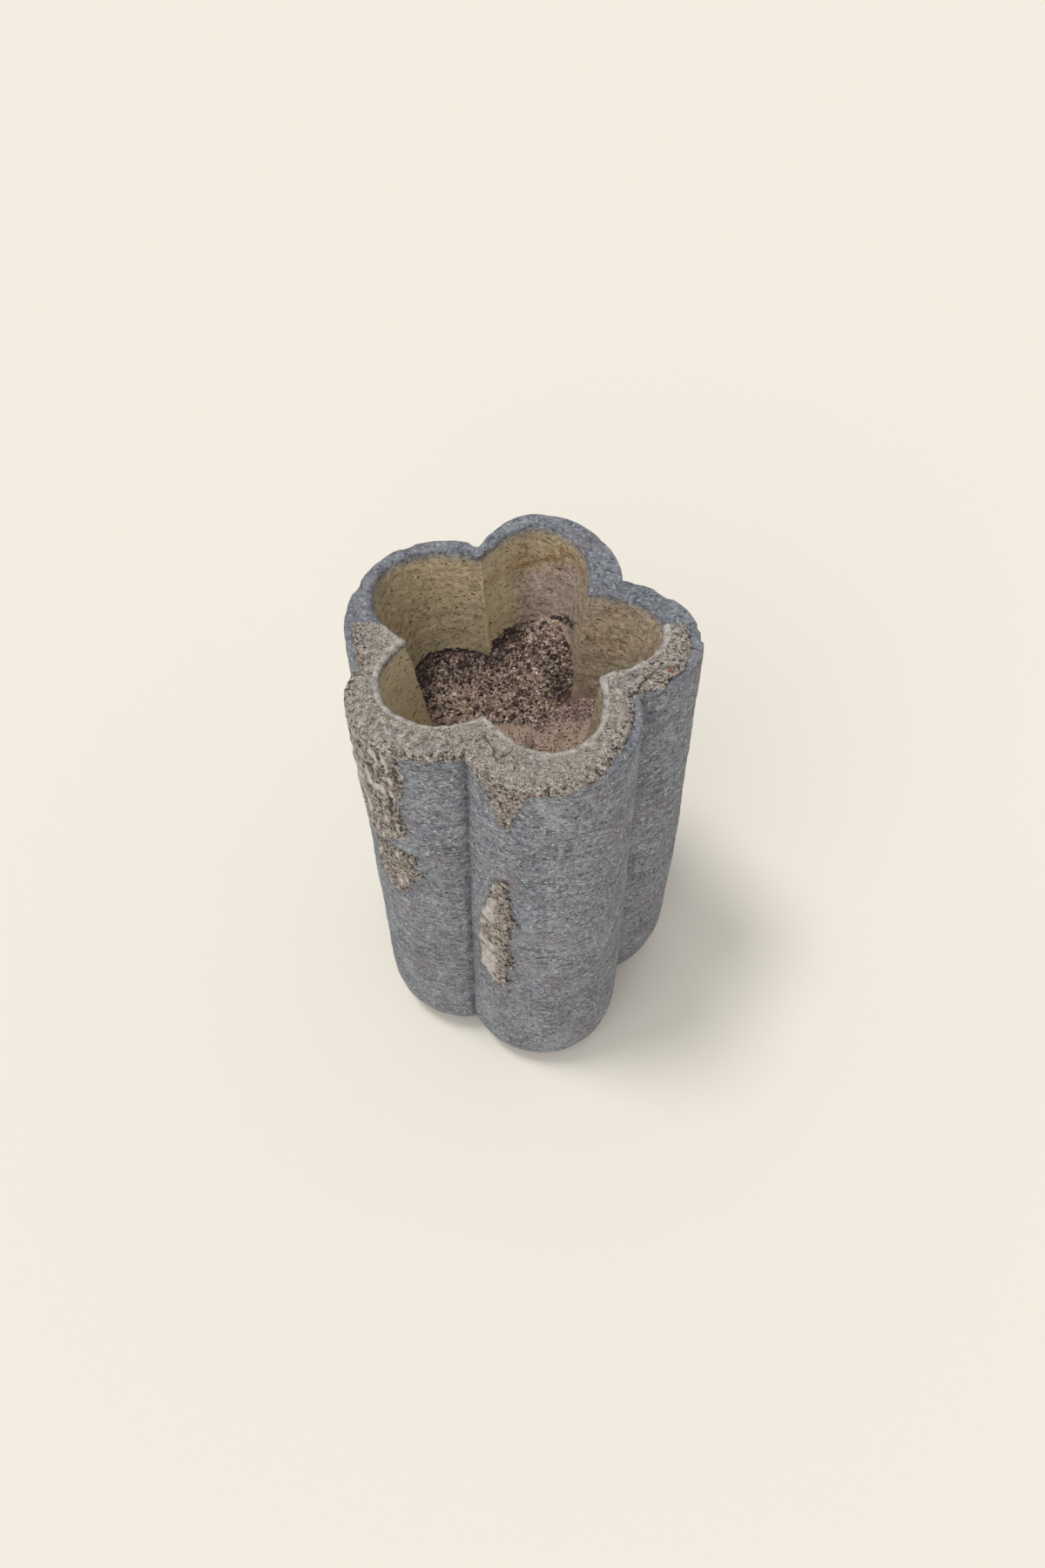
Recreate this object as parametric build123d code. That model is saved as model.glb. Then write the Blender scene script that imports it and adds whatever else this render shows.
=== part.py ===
from build123d import *
import math
import os
from typing import NamedTuple

# Limestone planter: one block of stone, carved outside into five lobes and hollowed
# from the top, with lime crusts on its rim and flank and a planting fill inside.
# Millimetres, +Z up. The carving is set out about the block's axis. Bearings are in
# degrees, counter-clockwise from +X, and the front of the planter faces -Y. At the
# end every piece is shifted so that the origin is under the middle of the object.


class Lobe(NamedTuple):
    """One lobe of the carving: the groove before it, its crest and how full it is."""

    groove_bearing: float
    groove_radius: float
    crest_bearing: float
    crest_radius: float
    fullness: float


# Stone block: front, right, back, back-left and front-left lobe. A fullness of 1
# is a sine bulge between the grooves, and less than 1 is squarer.
STONE_HEIGHT = 606.0
RIM_LOBES = [
    Lobe(-110.0, 168.0, -77.0, 211.0, 0.93),
    Lobe(-35.5, 152.0, -1.5, 196.0, 1.05),
    Lobe(40.0, 151.0, 84.0, 211.0, 1.08),
    Lobe(108.5, 161.0, 143.0, 208.0, 0.84),
    Lobe(193.5, 178.0, 215.0, 209.0, 0.78),
]
FOOT_LOBES = [
    Lobe(-113.0, 170.0, -77.0, 219.0, 0.95),
    Lobe(-33.0, 149.0, -1.5, 204.0, 1.05),
    Lobe(40.0, 148.0, 84.0, 211.0, 1.08),
    Lobe(108.5, 158.0, 143.0, 214.0, 0.84),
    Lobe(193.5, 181.0, 215.0, 200.0, 0.78),
]
FOOT_WEAR_INSET = 34.0
FOOT_WEAR_HEIGHT = 72.0
RIM_WEAR = 8.0
WEAR_STEPS = 4
POINTS_PER_LOBE = 11

# Hollow: its mouth outline, and how far it has drawn in at each depth below the rim
MOUTH_LOBES = [
    Lobe(-110.0, 119.0, -75.0, 164.0, 1.25),
    Lobe(-34.0, 101.0, 6.0, 156.0, 1.25),
    Lobe(45.0, 104.0, 83.0, 187.0, 1.15),
    Lobe(110.5, 137.0, 143.0, 192.0, 0.95),
    Lobe(182.0, 127.0, 214.5, 172.0, 0.88),
]
LIP_WEAR = 4.0
HOLLOW_DEPTH = 482.0
HOLLOW_TAPER = [(140.0, 0.82), (300.0, 0.73), (450.0, 0.65), (472.0, 0.61), (HOLLOW_DEPTH, 0.53)]
DRAIN_DIAMETER = 36.0

# Lime crust: its thickness, how far it hangs down outside the front of the rim, and how
# far inside the rim's edge it stops on the left and on the right
CRUST_THICKNESS = 4.0
RIM_CRUST_DROP = 9.0
LEFT_CRUST_START = 172.0
LEFT_CRUST_MARGIN = 6.0
OVERHANG_END = -66.0
RIGHT_CRUST_MARGIN = 10.0
RIGHT_CRUST_END = 8.0

# Outlines of the crust patches on the flank, as bearing and height above the floor
DRIP_OUTLINE = [(-108.5, 598.0), (-104.0, 582.0), (-100.0, 556.0), (-97.5, 532.0), (-94.5, 524.0),
                (-93.0, 548.0), (-90.0, 574.0), (-86.0, 598.0)]
LEFT_UPPER_OUTLINE = [(-129.0, 598.0), (-128.0, 548.0), (-131.0, 510.0), (-129.0, 456.0),
                      (-138.0, 424.0), (-146.0, 424.0), (-152.0, 470.0), (-156.0, 540.0),
                      (-158.0, 598.0)]
LEFT_LOWER_OUTLINE = [(-144.0, 412.0), (-137.0, 420.0), (-126.0, 418.0), (-128.0, 392.0),
                      (-125.5, 380.0), (-130.0, 354.0), (-134.0, 322.0), (-139.0, 334.0),
                      (-144.0, 366.0)]
GROOVE_OUTLINE = [(-96.5, 438.0), (-100.5, 402.0), (-104.0, 342.0), (-105.5, 284.0),
                  (-105.0, 227.0), (-99.0, 204.0), (-95.0, 188.0), (-93.5, 250.0), (-94.0, 306.0),
                  (-91.5, 336.0), (-92.5, 372.0), (-94.0, 420.0)]

# Fill of the hollow, as heights above the floor that the planter stands on
GRAVEL_TOP = 176.0
SOIL_TOP = 404.0
SILT_TOP = 436.0
HEAP_SLOPE = 0.318
HEAP_FOOT = (0.0, 28.0)
HEAP_BEARING = 109.3
HEAP_REACH = 260.0

# Shard of fired clay over the drain hole
CROCK_LENGTH = 70.0
CROCK_RADIUS = 40.0
CROCK_WALL = 8.0
CROCK_RISE = 24.0

# Loose stone chips: place on the fill, size along, across and up, and turn
CHIPS = [
    (-54.0, -8.0, 24.0, 15.0, 9.0, 35.0),
    (-38.0, -22.0, 18.0, 12.0, 8.0, 80.0),
    (18.0, -46.0, 16.0, 13.0, 7.0, 10.0),
    (44.0, 8.0, 20.0, 12.0, 9.0, 130.0),
    (66.0, 22.0, 14.0, 11.0, 8.0, 60.0),
    (-78.0, -14.0, 15.0, 10.0, 7.0, 155.0),
    (8.0, -2.0, 22.0, 16.0, 10.0, 100.0),
]
CHIP_CHAMFER = 0.28

FAR = 300.0


def lobe_between(low: Lobe, high: Lobe, share: float) -> Lobe:
    """The lobe a share of the way from one lobe to another."""
    return Lobe(*(a + (b - a) * share for a, b in zip(low, high)))


def outer_lobes(height: float) -> list:
    """The outside lobes at a height, between the foot's and the rim's."""
    share = height / STONE_HEIGHT
    return [lobe_between(foot, rim, share) for foot, rim in zip(FOOT_LOBES, RIM_LOBES)]


def lobed_face(lobes: list, height: float, grow: float = 0.0, draw: float = 1.0) -> Face:
    """A level face bounded by one curve for each lobe."""
    edges = []
    for index, lobe in enumerate(lobes):
        after = lobes[(index + 1) % len(lobes)]
        end_bearing = after.groove_bearing
        if end_bearing < lobe.groove_bearing:
            end_bearing += 360.0
        points = []
        for step in range(POINTS_PER_LOBE):
            turn = (1.0 - math.cos(math.pi * step / (POINTS_PER_LOBE - 1))) / 2.0
            if turn <= 0.5:
                bearing = lobe.groove_bearing + 2.0 * turn * (lobe.crest_bearing - lobe.groove_bearing)
                groove = lobe.groove_radius
            else:
                bearing = end_bearing - 2.0 * (1.0 - turn) * (end_bearing - lobe.crest_bearing)
                groove = after.groove_radius
            bulge = max(math.sin(math.pi * turn), 0.0) ** lobe.fullness
            radius = (groove + (lobe.crest_radius - groove) * bulge) * draw + grow
            angle = math.radians(bearing)
            points.append((radius * math.cos(angle), radius * math.sin(angle), height))
        edges.append(Spline(*points))
    return make_face(Wire(edges))


def carved_block(grow: float = 0.0, top: float = STONE_HEIGHT) -> Part:
    """The outside of the block, worn round at its foot and at its rim."""
    stations = []
    for step in range(WEAR_STEPS + 1):
        turn = math.radians(90.0 * step / WEAR_STEPS)
        height = FOOT_WEAR_HEIGHT * (1.0 - math.cos(turn))
        stations.append((height, FOOT_WEAR_INSET * (1.0 - math.sin(turn))))
    for step in range(WEAR_STEPS + 1):
        turn = math.radians(90.0 * step / WEAR_STEPS)
        height = top - RIM_WEAR * (1.0 - math.sin(turn))
        stations.append((height, RIM_WEAR * (1.0 - math.cos(turn))))
    faces = [lobed_face(outer_lobes(height), height, grow - inset) for height, inset in stations]
    return loft(faces, ruled=True)


def hollow_form(headroom: float) -> Part:
    """The space inside the planter, carried a little above the rim."""
    stations = [(-headroom, 1.0, LIP_WEAR), (0.0, 1.0, LIP_WEAR), (LIP_WEAR, 1.0, 0.0)]
    stations += [(depth, draw, 0.0) for depth, draw in HOLLOW_TAPER]
    faces = [lobed_face(MOUTH_LOBES, STONE_HEIGHT - depth, grow, draw) for depth, draw, grow in stations]
    return loft(list(reversed(faces)), ruled=True)


def slab(low: float, high: float) -> Part:
    """A wide level slab between two heights."""
    return Pos(0.0, 0.0, (low + high) / 2.0) * Box(2.0 * FAR, 2.0 * FAR, high - low)


def sector(start_bearing: float, end_bearing: float) -> Part:
    """An upright wedge of everything between two bearings."""
    steps = 6
    points = [(0.0, 0.0)]
    for step in range(steps + 1):
        angle = math.radians(start_bearing + (end_bearing - start_bearing) * step / steps)
        points.append((2.0 * FAR * math.cos(angle), 2.0 * FAR * math.sin(angle)))
    return extrude(make_face(Polyline(*points, close=True)), amount=2.0 * STONE_HEIGHT)


def rim_prism(margin: float) -> Part:
    """Everything that stands over the rim, inside its outer edge by a margin."""
    face = lobed_face(RIM_LOBES, STONE_HEIGHT - RIM_WEAR, -margin)
    return extrude(face, amount=RIM_WEAR + 2.0 * CRUST_THICKNESS)


def patch_cutter(outline: list) -> Part:
    """A prism through the flank wall, from an outline of bearings and heights."""
    middle = sum(bearing for bearing, _ in outline) / len(outline)
    reach = RIM_LOBES[0].crest_radius
    points = [(reach * math.sin(math.radians(bearing - middle)), height) for bearing, height in outline]
    facing = Plane(origin=(0.0, 0.0, 0.0), x_dir=(0.0, 1.0, 0.0), z_dir=(1.0, 0.0, 0.0))
    prism = extrude(facing * make_face(Polyline(*points, close=True)), amount=FAR)
    return Rot(0.0, 0.0, middle) * prism


def heap_wedge() -> Part:
    """Everything under the litter's sloping top and above the silt."""
    rise = HEAP_SLOPE * HEAP_REACH
    profile = [(0.0, SILT_TOP), (HEAP_REACH, SILT_TOP), (HEAP_REACH, SILT_TOP + rise)]
    upright = Plane(origin=(0.0, 0.0, 0.0), x_dir=(1.0, 0.0, 0.0), z_dir=(0.0, -1.0, 0.0))
    wedge = extrude(upright * make_face(Polyline(*profile, close=True)), amount=FAR, both=True)
    return Pos(HEAP_FOOT[0], HEAP_FOOT[1], 0.0) * Rot(0.0, 0.0, HEAP_BEARING) * wedge


def fill_height(x: float, y: float) -> float:
    """Height of the top of the silt or litter at a place."""
    bearing = math.radians(HEAP_BEARING)
    along = (x - HEAP_FOOT[0]) * math.cos(bearing) + (y - HEAP_FOOT[1]) * math.sin(bearing)
    return SILT_TOP + max(along, 0.0) * HEAP_SLOPE


def crock() -> Part:
    """A curved shard of fired clay, lying like a bridge on the hollow's floor."""
    outside = Rot(90.0, 0.0, 0.0) * Cylinder(CROCK_RADIUS, CROCK_LENGTH)
    inside = Rot(90.0, 0.0, 0.0) * Cylinder(CROCK_RADIUS - CROCK_WALL, CROCK_LENGTH)
    top_slice = Pos(0.0, 0.0, CROCK_RADIUS) * Box(2.0 * FAR, 2.0 * FAR, 2.0 * CROCK_RISE)
    floor_height = STONE_HEIGHT - HOLLOW_DEPTH
    return Pos(0.0, 0.0, floor_height + CROCK_RISE - CROCK_RADIUS) * ((outside - inside) & top_slice)


def under_crock() -> Part:
    """The crock and the space that it bridges, which the gravel stays out of."""
    outside = Rot(90.0, 0.0, 0.0) * Cylinder(CROCK_RADIUS, CROCK_LENGTH)
    top_slice = Pos(0.0, 0.0, CROCK_RADIUS) * Box(2.0 * FAR, 2.0 * FAR, 2.0 * CROCK_RISE)
    floor_height = STONE_HEIGHT - HOLLOW_DEPTH
    return Pos(0.0, 0.0, floor_height + CROCK_RISE - CROCK_RADIUS) * (outside & top_slice)


def chip(x: float, y: float, length: float, width: float, height: float, turn: float) -> Part:
    """One broken stone chip, resting on the fill."""
    block = Box(length, width, height)
    stone = chamfer(block.edges(), CHIP_CHAMFER * height)
    return Pos(x, y, fill_height(x, y) + height / 2.0) * Rot(0.0, 0.0, turn) * stone


def build_pieces() -> dict:
    """Every piece of the planter by its node name, about the block's axis."""
    block = carved_block()
    hollow = hollow_form(FAR / 10.0)
    drain = Pos(0.0, 0.0, STONE_HEIGHT / 4.0) * Cylinder(DRAIN_DIAMETER / 2.0, STONE_HEIGHT / 2.0)
    vessel = block - hollow - drain

    crust_shell = carved_block(CRUST_THICKNESS, STONE_HEIGHT + CRUST_THICKNESS) - block - hollow
    rim_band = crust_shell & slab(STONE_HEIGHT - RIM_CRUST_DROP, STONE_HEIGHT + 2.0 * CRUST_THICKNESS)
    flank_shell = crust_shell & slab(0.0, STONE_HEIGHT - RIM_CRUST_DROP)
    left_top = rim_band & rim_prism(LEFT_CRUST_MARGIN)
    right_top = rim_band & rim_prism(RIGHT_CRUST_MARGIN)
    front_groove = RIM_LOBES[0].groove_bearing
    right_groove = RIM_LOBES[1].groove_bearing
    left_groove = RIM_LOBES[4].groove_bearing
    left_rim = (left_top & sector(LEFT_CRUST_START, left_groove)) + (
        rim_band & sector(left_groove, 360.0 + front_groove))
    front_rim = (rim_band & sector(front_groove, OVERHANG_END)) + (
        right_top & sector(OVERHANG_END, right_groove))

    pieces = {
        "stone_vessel": vessel,
        "left_rim_crust": left_rim,
        "front_rim_crust": front_rim,
        "right_rim_crust": right_top & sector(right_groove, RIGHT_CRUST_END),
        "drip_crust": flank_shell & patch_cutter(DRIP_OUTLINE),
        "left_flank_crust_upper": flank_shell & patch_cutter(LEFT_UPPER_OUTLINE),
        "left_flank_crust_lower": flank_shell & patch_cutter(LEFT_LOWER_OUTLINE),
        "front_groove_crust": flank_shell & patch_cutter(GROOVE_OUTLINE),
        "drain_crock": crock(),
        "drainage_gravel": (hollow & slab(0.0, GRAVEL_TOP)) - under_crock(),
        "soil_fill": hollow & slab(GRAVEL_TOP, SOIL_TOP),
        "silt_bed": hollow & slab(SOIL_TOP, SILT_TOP),
        "litter_heap": hollow & heap_wedge(),
        "stone_chips": Compound([chip(*values).solid() for values in CHIPS]),
    }
    return pieces


def main() -> None:
    """Build the pieces, centre them over the origin and write one file for each."""
    pieces = build_pieces()
    box = Compound(list(pieces.values())).bounding_box()
    middle = box.center()
    shift = Pos(-middle.X, -middle.Y, -box.min.Z)
    os.makedirs("parts", exist_ok=True)
    for name, shape in pieces.items():
        export_step(shift * shape, f"parts/{name}.step")
    print(f"axis at {-middle.X:.2f}, {-middle.Y:.2f}, size {box.size.X:.1f}, {box.size.Y:.1f}, {box.size.Z:.1f}")


main()
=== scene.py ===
"""Looks of a carved limestone planter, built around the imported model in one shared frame."""

import logging
import math
from dataclasses import dataclass
from enum import Enum
from typing import Any, NamedTuple, Optional, Sequence

import bpy
import numpy as np
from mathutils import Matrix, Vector, noise


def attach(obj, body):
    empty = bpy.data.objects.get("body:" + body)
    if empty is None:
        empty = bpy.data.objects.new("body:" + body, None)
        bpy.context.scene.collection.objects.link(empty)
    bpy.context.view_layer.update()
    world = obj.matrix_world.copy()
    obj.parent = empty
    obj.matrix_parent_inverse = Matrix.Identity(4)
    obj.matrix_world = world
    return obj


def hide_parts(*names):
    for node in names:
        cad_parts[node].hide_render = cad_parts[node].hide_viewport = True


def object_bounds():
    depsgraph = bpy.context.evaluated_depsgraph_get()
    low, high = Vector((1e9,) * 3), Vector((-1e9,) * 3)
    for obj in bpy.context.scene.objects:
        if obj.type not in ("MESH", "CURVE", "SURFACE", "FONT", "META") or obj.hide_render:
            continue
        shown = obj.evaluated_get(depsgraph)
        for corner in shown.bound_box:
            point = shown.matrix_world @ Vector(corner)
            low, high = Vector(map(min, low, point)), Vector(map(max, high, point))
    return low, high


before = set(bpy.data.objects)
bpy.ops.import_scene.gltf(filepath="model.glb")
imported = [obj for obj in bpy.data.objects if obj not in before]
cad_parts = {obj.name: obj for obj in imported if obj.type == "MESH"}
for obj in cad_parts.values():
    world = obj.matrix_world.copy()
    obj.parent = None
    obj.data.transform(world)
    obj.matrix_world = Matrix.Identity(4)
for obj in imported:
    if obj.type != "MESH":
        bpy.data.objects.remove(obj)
CAD_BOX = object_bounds()

Array = np.ndarray
Material = bpy.types.Material
Socket = bpy.types.NodeSocket
Thing = bpy.types.Object
Tree = bpy.types.NodeTree

LOG = logging.getLogger("planter")
MM = 0.001
BOX_MARGIN = 0.0001


class Lobe(NamedTuple):
    """One lobe of the carved outline, from the groove before it to its crest, in degrees and mm."""

    groove_bearing: float
    groove_radius: float
    crest_bearing: float
    crest_radius: float
    fullness: float


AXIS = (-1.14, 2.46)
STONE_HEIGHT = 606.0
CRUST_TOP = 609.6
RIM_LOBES = [
    Lobe(-110.0, 168.0, -77.0, 211.0, 0.93),
    Lobe(-35.5, 152.0, -1.5, 196.0, 1.05),
    Lobe(40.0, 151.0, 84.0, 211.0, 1.08),
    Lobe(108.5, 161.0, 143.0, 208.0, 0.84),
    Lobe(193.5, 178.0, 215.0, 209.0, 0.78),
]
FOOT_LOBES = [
    Lobe(-113.0, 170.0, -77.0, 219.0, 0.95),
    Lobe(-33.0, 149.0, -1.5, 204.0, 1.05),
    Lobe(40.0, 148.0, 84.0, 211.0, 1.08),
    Lobe(108.5, 158.0, 143.0, 214.0, 0.84),
    Lobe(193.5, 181.0, 215.0, 200.0, 0.78),
]
MOUTH_LOBES = [
    Lobe(-110.0, 119.0, -75.0, 164.0, 1.25),
    Lobe(-34.0, 101.0, 6.0, 156.0, 1.25),
    Lobe(45.0, 104.0, 83.0, 187.0, 1.15),
    Lobe(110.5, 137.0, 143.0, 192.0, 0.95),
    Lobe(182.0, 127.0, 214.5, 172.0, 0.88),
]
FOOT_WEAR_INSET = 34.0
FOOT_WEAR_HEIGHT = 72.0
RIGHT_FOOT_INSET = 7.0
RIM_WEAR = 4.0
LIP_WEAR = 4.0
HOLLOW_DEPTHS = (0.0, 4.0, 140.0, 300.0, 450.0, 472.0, 482.0)
HOLLOW_DRAWS = (1.0, 1.0, 0.82, 0.73, 0.65, 0.61, 0.53)
DRAIN_RADIUS = 18.0
SILT_TOP = 436.0
SOIL_TOP = 404.0
HEAP_SLOPE = 0.318
HEAP_FOOT = (0.0, 28.0)
HEAP_BEARING = 109.3

# Lines on the inside of the back lobe, as bearing and height: the broken ledge, the gold
# stain along it, and the edge of the dirt that older, higher soil left
LEDGE = ((60.0, 586.0), (71.0, 580.0), (85.0, 557.0), (94.0, 557.0), (109.0, 569.0))
GOLD_STAIN = ((60.0, 586.0), (71.0, 580.0), (85.0, 557.0), (94.0, 557.0), (109.0, 565.0), (122.0, 560.0))
OLD_SOIL_LINE = ((60.0, 508.0), (70.0, 498.0), (80.0, 479.0), (90.0, 473.0), (103.0, 479.0), (112.0, 470.0))


def smooth_step(values: Array, low: float, high: float) -> Array:
    """Rise from 0 at one value to 1 at another, with a soft start and end."""
    share = np.clip((values - low) / (high - low), 0.0, 1.0)
    return share * share * (3.0 - 2.0 * share)


def fade(values: Array, low: float, high: float) -> Array:
    """Fall from 1 at one value to 0 at another, with a soft start and end."""
    return 1.0 - smooth_step(values, low, high)


def window(values: Array, start: float, full: float, fading: float, end: float) -> Array:
    """Rise from 0 to 1 over one stretch of values and fall to 0 again over a later one."""
    return smooth_step(values, start, full) * smooth_step(-values, -end, -fading)


def bearing_of(places: Array) -> Array:
    """Bearing of points about the block's axis, in degrees."""
    return np.degrees(np.arctan2(places[..., 1], places[..., 0]))


def along_line(bearing: Array, line: Sequence[tuple[float, float]]) -> Array:
    """Value at a bearing on a line given as bearings and values."""
    return np.interp(bearing, *zip(*line))


def along_heap(places: Array) -> Array:
    """Distance up the litter's slope, from the line where it meets the silt."""
    bearing = math.radians(HEAP_BEARING)
    east = places[..., 0] - HEAP_FOOT[0]
    north = places[..., 1] - HEAP_FOOT[1]
    return east * math.cos(bearing) + north * math.sin(bearing)


def turned_level(angle: float) -> Array:
    """Rotation about the upright axis by an angle in radians."""
    cosine, sine = math.cos(angle), math.sin(angle)
    return np.array([[cosine, -sine, 0.0], [sine, cosine, 0.0], [0.0, 0.0, 1.0]])


def lumps(places: Array, size: float, seed: int = 0) -> Array:
    """Smooth random field of about -1 to 1.

    Args:
        places: Points in mm, in rows.
        size: Width of one lump in mm.
        seed: Which of many fields to give.

    Returns:
        One value for each point.
    """
    shifted = places.reshape(-1, 3) / size + 17.31 * seed
    values = np.array([noise.noise(place) for place in shifted.tolist()])
    return values.reshape(places.shape[:-1])


def pits(places: Array, size: float, seed: int = 0) -> Array:
    """Distance to the nearest of many scattered points, 0 at a point and about 1 far from it.

    Args:
        places: Points in mm, in rows.
        size: Usual gap between scattered points in mm.
        seed: Which of many fields to give.

    Returns:
        One value for each point.
    """
    shifted = places.reshape(-1, 3) / size + 11.7 * seed
    values = np.array([noise.voronoi(place)[0][0] for place in shifted.tolist()])
    return values.reshape(places.shape[:-1])


class Outline:
    """A five-lobed outline whose numbers may change from the foot to the rim."""

    def __init__(self, foot: Sequence[Lobe], rim: Sequence[Lobe]) -> None:
        """Keep the lobes as number tables, the first groove again at the end."""
        self.foot = np.array([tuple(lobe) for lobe in foot])
        self.rim = np.array([tuple(lobe) for lobe in rim])

    def _lobes(self, share: Array) -> Array:
        """Lobe numbers at each height share, the first lobe again after the last."""
        mixed = self.foot + (self.rim - self.foot) * share[..., None, None]
        again = mixed[..., :1, :].copy()
        again[..., 0] += 360.0
        again[..., 2] += 360.0
        return np.concatenate([mixed, again], axis=-2)

    def bearing(self, turn: Array, share: Array) -> Array:
        """Bearing in degrees at a lobe count, whole at the grooves and half at the crests."""
        lobes = self._lobes(share)
        index = np.clip(np.floor(turn).astype(int), 0, 4)
        part = turn - index
        here = np.take_along_axis(lobes, index[..., None, None], axis=-2)[..., 0, :]
        after = np.take_along_axis(lobes, index[..., None, None] + 1, axis=-2)[..., 0, :]
        rising = here[..., 0] + 2.0 * part * (here[..., 2] - here[..., 0])
        falling = after[..., 0] - 2.0 * (1.0 - part) * (after[..., 0] - here[..., 2])
        return np.where(part <= 0.5, rising, falling)

    def radius(self, bearing: Array, share: Array) -> Array:
        """Radius in mm at a bearing in degrees."""
        lobes = self._lobes(share)
        first = lobes[..., 0, 0]
        turned = first + np.mod(bearing - first, 360.0)
        index = np.sum(turned[..., None] >= lobes[..., :5, 0], axis=-1) - 1
        index = np.clip(index, 0, 4)
        here = np.take_along_axis(lobes, index[..., None, None], axis=-2)[..., 0, :]
        after = np.take_along_axis(lobes, index[..., None, None] + 1, axis=-2)[..., 0, :]
        rising = turned < here[..., 2]
        up = 0.5 * (turned - here[..., 0]) / (here[..., 2] - here[..., 0])
        down = 1.0 - 0.5 * (after[..., 0] - turned) / (after[..., 0] - here[..., 2])
        part = np.where(rising, up, down)
        groove = np.where(rising, here[..., 1], after[..., 1])
        bulge = np.sin(np.pi * np.clip(part, 0.0, 1.0)) ** here[..., 4]
        return groove + (here[..., 3] - groove) * bulge


OUTSIDE = Outline(FOOT_LOBES, RIM_LOBES)
MOUTH = Outline(MOUTH_LOBES, MOUTH_LOBES)


def outer_radius(bearing: Array, height: Array) -> Array:
    """Radius of the outside at a bearing and height, with the wear at foot and rim."""
    low = np.clip(height / FOOT_WEAR_HEIGHT, 0.0, 1.0)
    foot_inset = FOOT_WEAR_INSET * (1.0 - np.sqrt(np.maximum(1.0 - (1.0 - low) ** 2, 0.0)))
    high = np.clip((height - STONE_HEIGHT + RIM_WEAR) / RIM_WEAR, 0.0, 1.0)
    rim_inset = RIM_WEAR * (1.0 - np.sqrt(np.maximum(1.0 - high**2, 0.0)))
    return OUTSIDE.radius(bearing, height / STONE_HEIGHT) - foot_inset - rim_inset


def inner_radius(bearing: Array, height: Array) -> Array:
    """Radius of the hollow at a bearing and height, with the worn lip."""
    depth = STONE_HEIGHT - height
    draw = np.interp(depth, HOLLOW_DEPTHS, HOLLOW_DRAWS)
    lip = np.clip((LIP_WEAR - depth) / LIP_WEAR, 0.0, 1.0)
    opening = LIP_WEAR * (1.0 - np.sqrt(np.maximum(1.0 - lip**2, 0.0)))
    return MOUTH.radius(bearing, np.ones_like(bearing)) * draw + opening


def at_bearing(radius: Array, bearing: Array, height: Array) -> Array:
    """Points in mm, about the block's axis."""
    angle = np.radians(bearing)
    return np.stack([radius * np.cos(angle), radius * np.sin(angle), height], axis=-1)


def grid_normals(places: Array, closed: bool) -> Array:
    """Normals of a grid of points, whose columns run anticlockwise and rows run outwards over the rim.

    Args:
        places: Points by row and column.
        closed: Whether the last column meets the first.

    Returns:
        Unit normals, one for each point.
    """
    if closed:
        across = np.roll(places, -1, axis=1) - np.roll(places, 1, axis=1)
    else:
        across = np.gradient(places, axis=1)
    along = np.gradient(places, axis=0)
    normal = np.cross(across, along)
    length = np.linalg.norm(normal, axis=-1, keepdims=True)
    return normal / np.maximum(length, 1e-9)


def groove_nearness(bearing: Array, share: Array, reach: float) -> Array:
    """How near a bearing is to an outside groove, 1 in it and 0 at a reach in degrees."""
    grooves = OUTSIDE.foot[:, 0] + (OUTSIDE.rim[:, 0] - OUTSIDE.foot[:, 0]) * share[..., None]
    gap = np.abs(np.mod(bearing[..., None] - grooves + 180.0, 360.0) - 180.0)
    return np.clip(1.0 - gap.min(axis=-1) / reach, 0.0, 1.0)


def tool_strokes(places: Array) -> Array:
    """Faint, wandering rows of tool strokes round the outside, about -1 to 1."""
    sweep = places[..., 2] + 20.0 * lumps(places, 150.0, 3) + 6.0 * lumps(places, 45.0, 4)
    strength = 0.55 + 0.8 * lumps(places, 60.0, 5)
    return np.sin(2.0 * np.pi * sweep / 19.0) * np.clip(strength, 0.0, 1.2)


def outside_relief(places: Array) -> Array:
    """Unevenness that the mason's tools and the weather left on the outside, in mm."""
    bearing = bearing_of(places)
    height = places[..., 2]
    broad = 1.5 * lumps(places, 115.0) + 1.2 * lumps(places, 38.0, 1) + 0.6 * lumps(places, 16.0, 2)
    worn = np.minimum(broad - 0.8 + 0.5 * tool_strokes(places), 0.5)
    chisel = groove_nearness(bearing, height / STONE_HEIGHT, 1.6)
    dots = 0.6 + 0.8 * lumps(places, 9.0, 6)
    right_lobe = window(bearing, -33.0, -14.0, 20.0, 40.0)
    drawn_in = RIGHT_FOOT_INSET * right_lobe * fade(height, 20.0, 250.0)
    return worn - 1.5 * chisel * dots - drawn_in


def jagged(places: Array) -> Array:
    """How far the broken edge of the ledge wanders up and down, in mm."""
    return 6.0 * lumps(places, 20.0, 10) + 5.0 * lumps(places, 8.0, 16)


def inside_relief(places: Array) -> Array:
    """Tool marks on the wall of the hollow, in mm, with the ledge high on the back lobe."""
    bearing = bearing_of(places)
    height = places[..., 2]
    broad = 1.5 * lumps(places, 60.0, 7) + 1.1 * lumps(places, 22.0, 8)
    broad += 0.8 * lumps(places * np.array([1.0, 1.0, 1.8]), 11.0, 9)
    ledge_height = along_line(bearing, LEDGE)
    on_back = window(bearing, 58.0, 66.0, 106.0, 114.0)
    step = smooth_step(ledge_height - height + jagged(places), -2.0, 3.0)
    below = fade(ledge_height - height, 12.0, 46.0)
    rows = np.sin(2.0 * np.pi * (height + 8.0 * lumps(places, 45.0, 11)) / 13.0)
    cusp = fade(np.abs(bearing - 110.5), 0.0, 8.0)
    broad -= cusp * (3.5 + 3.0 * lumps(places * np.array([1.0, 1.0, 0.7]), 13.0, 52))
    return broad - 2.6 * on_back * step * below + 0.35 * rows


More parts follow.
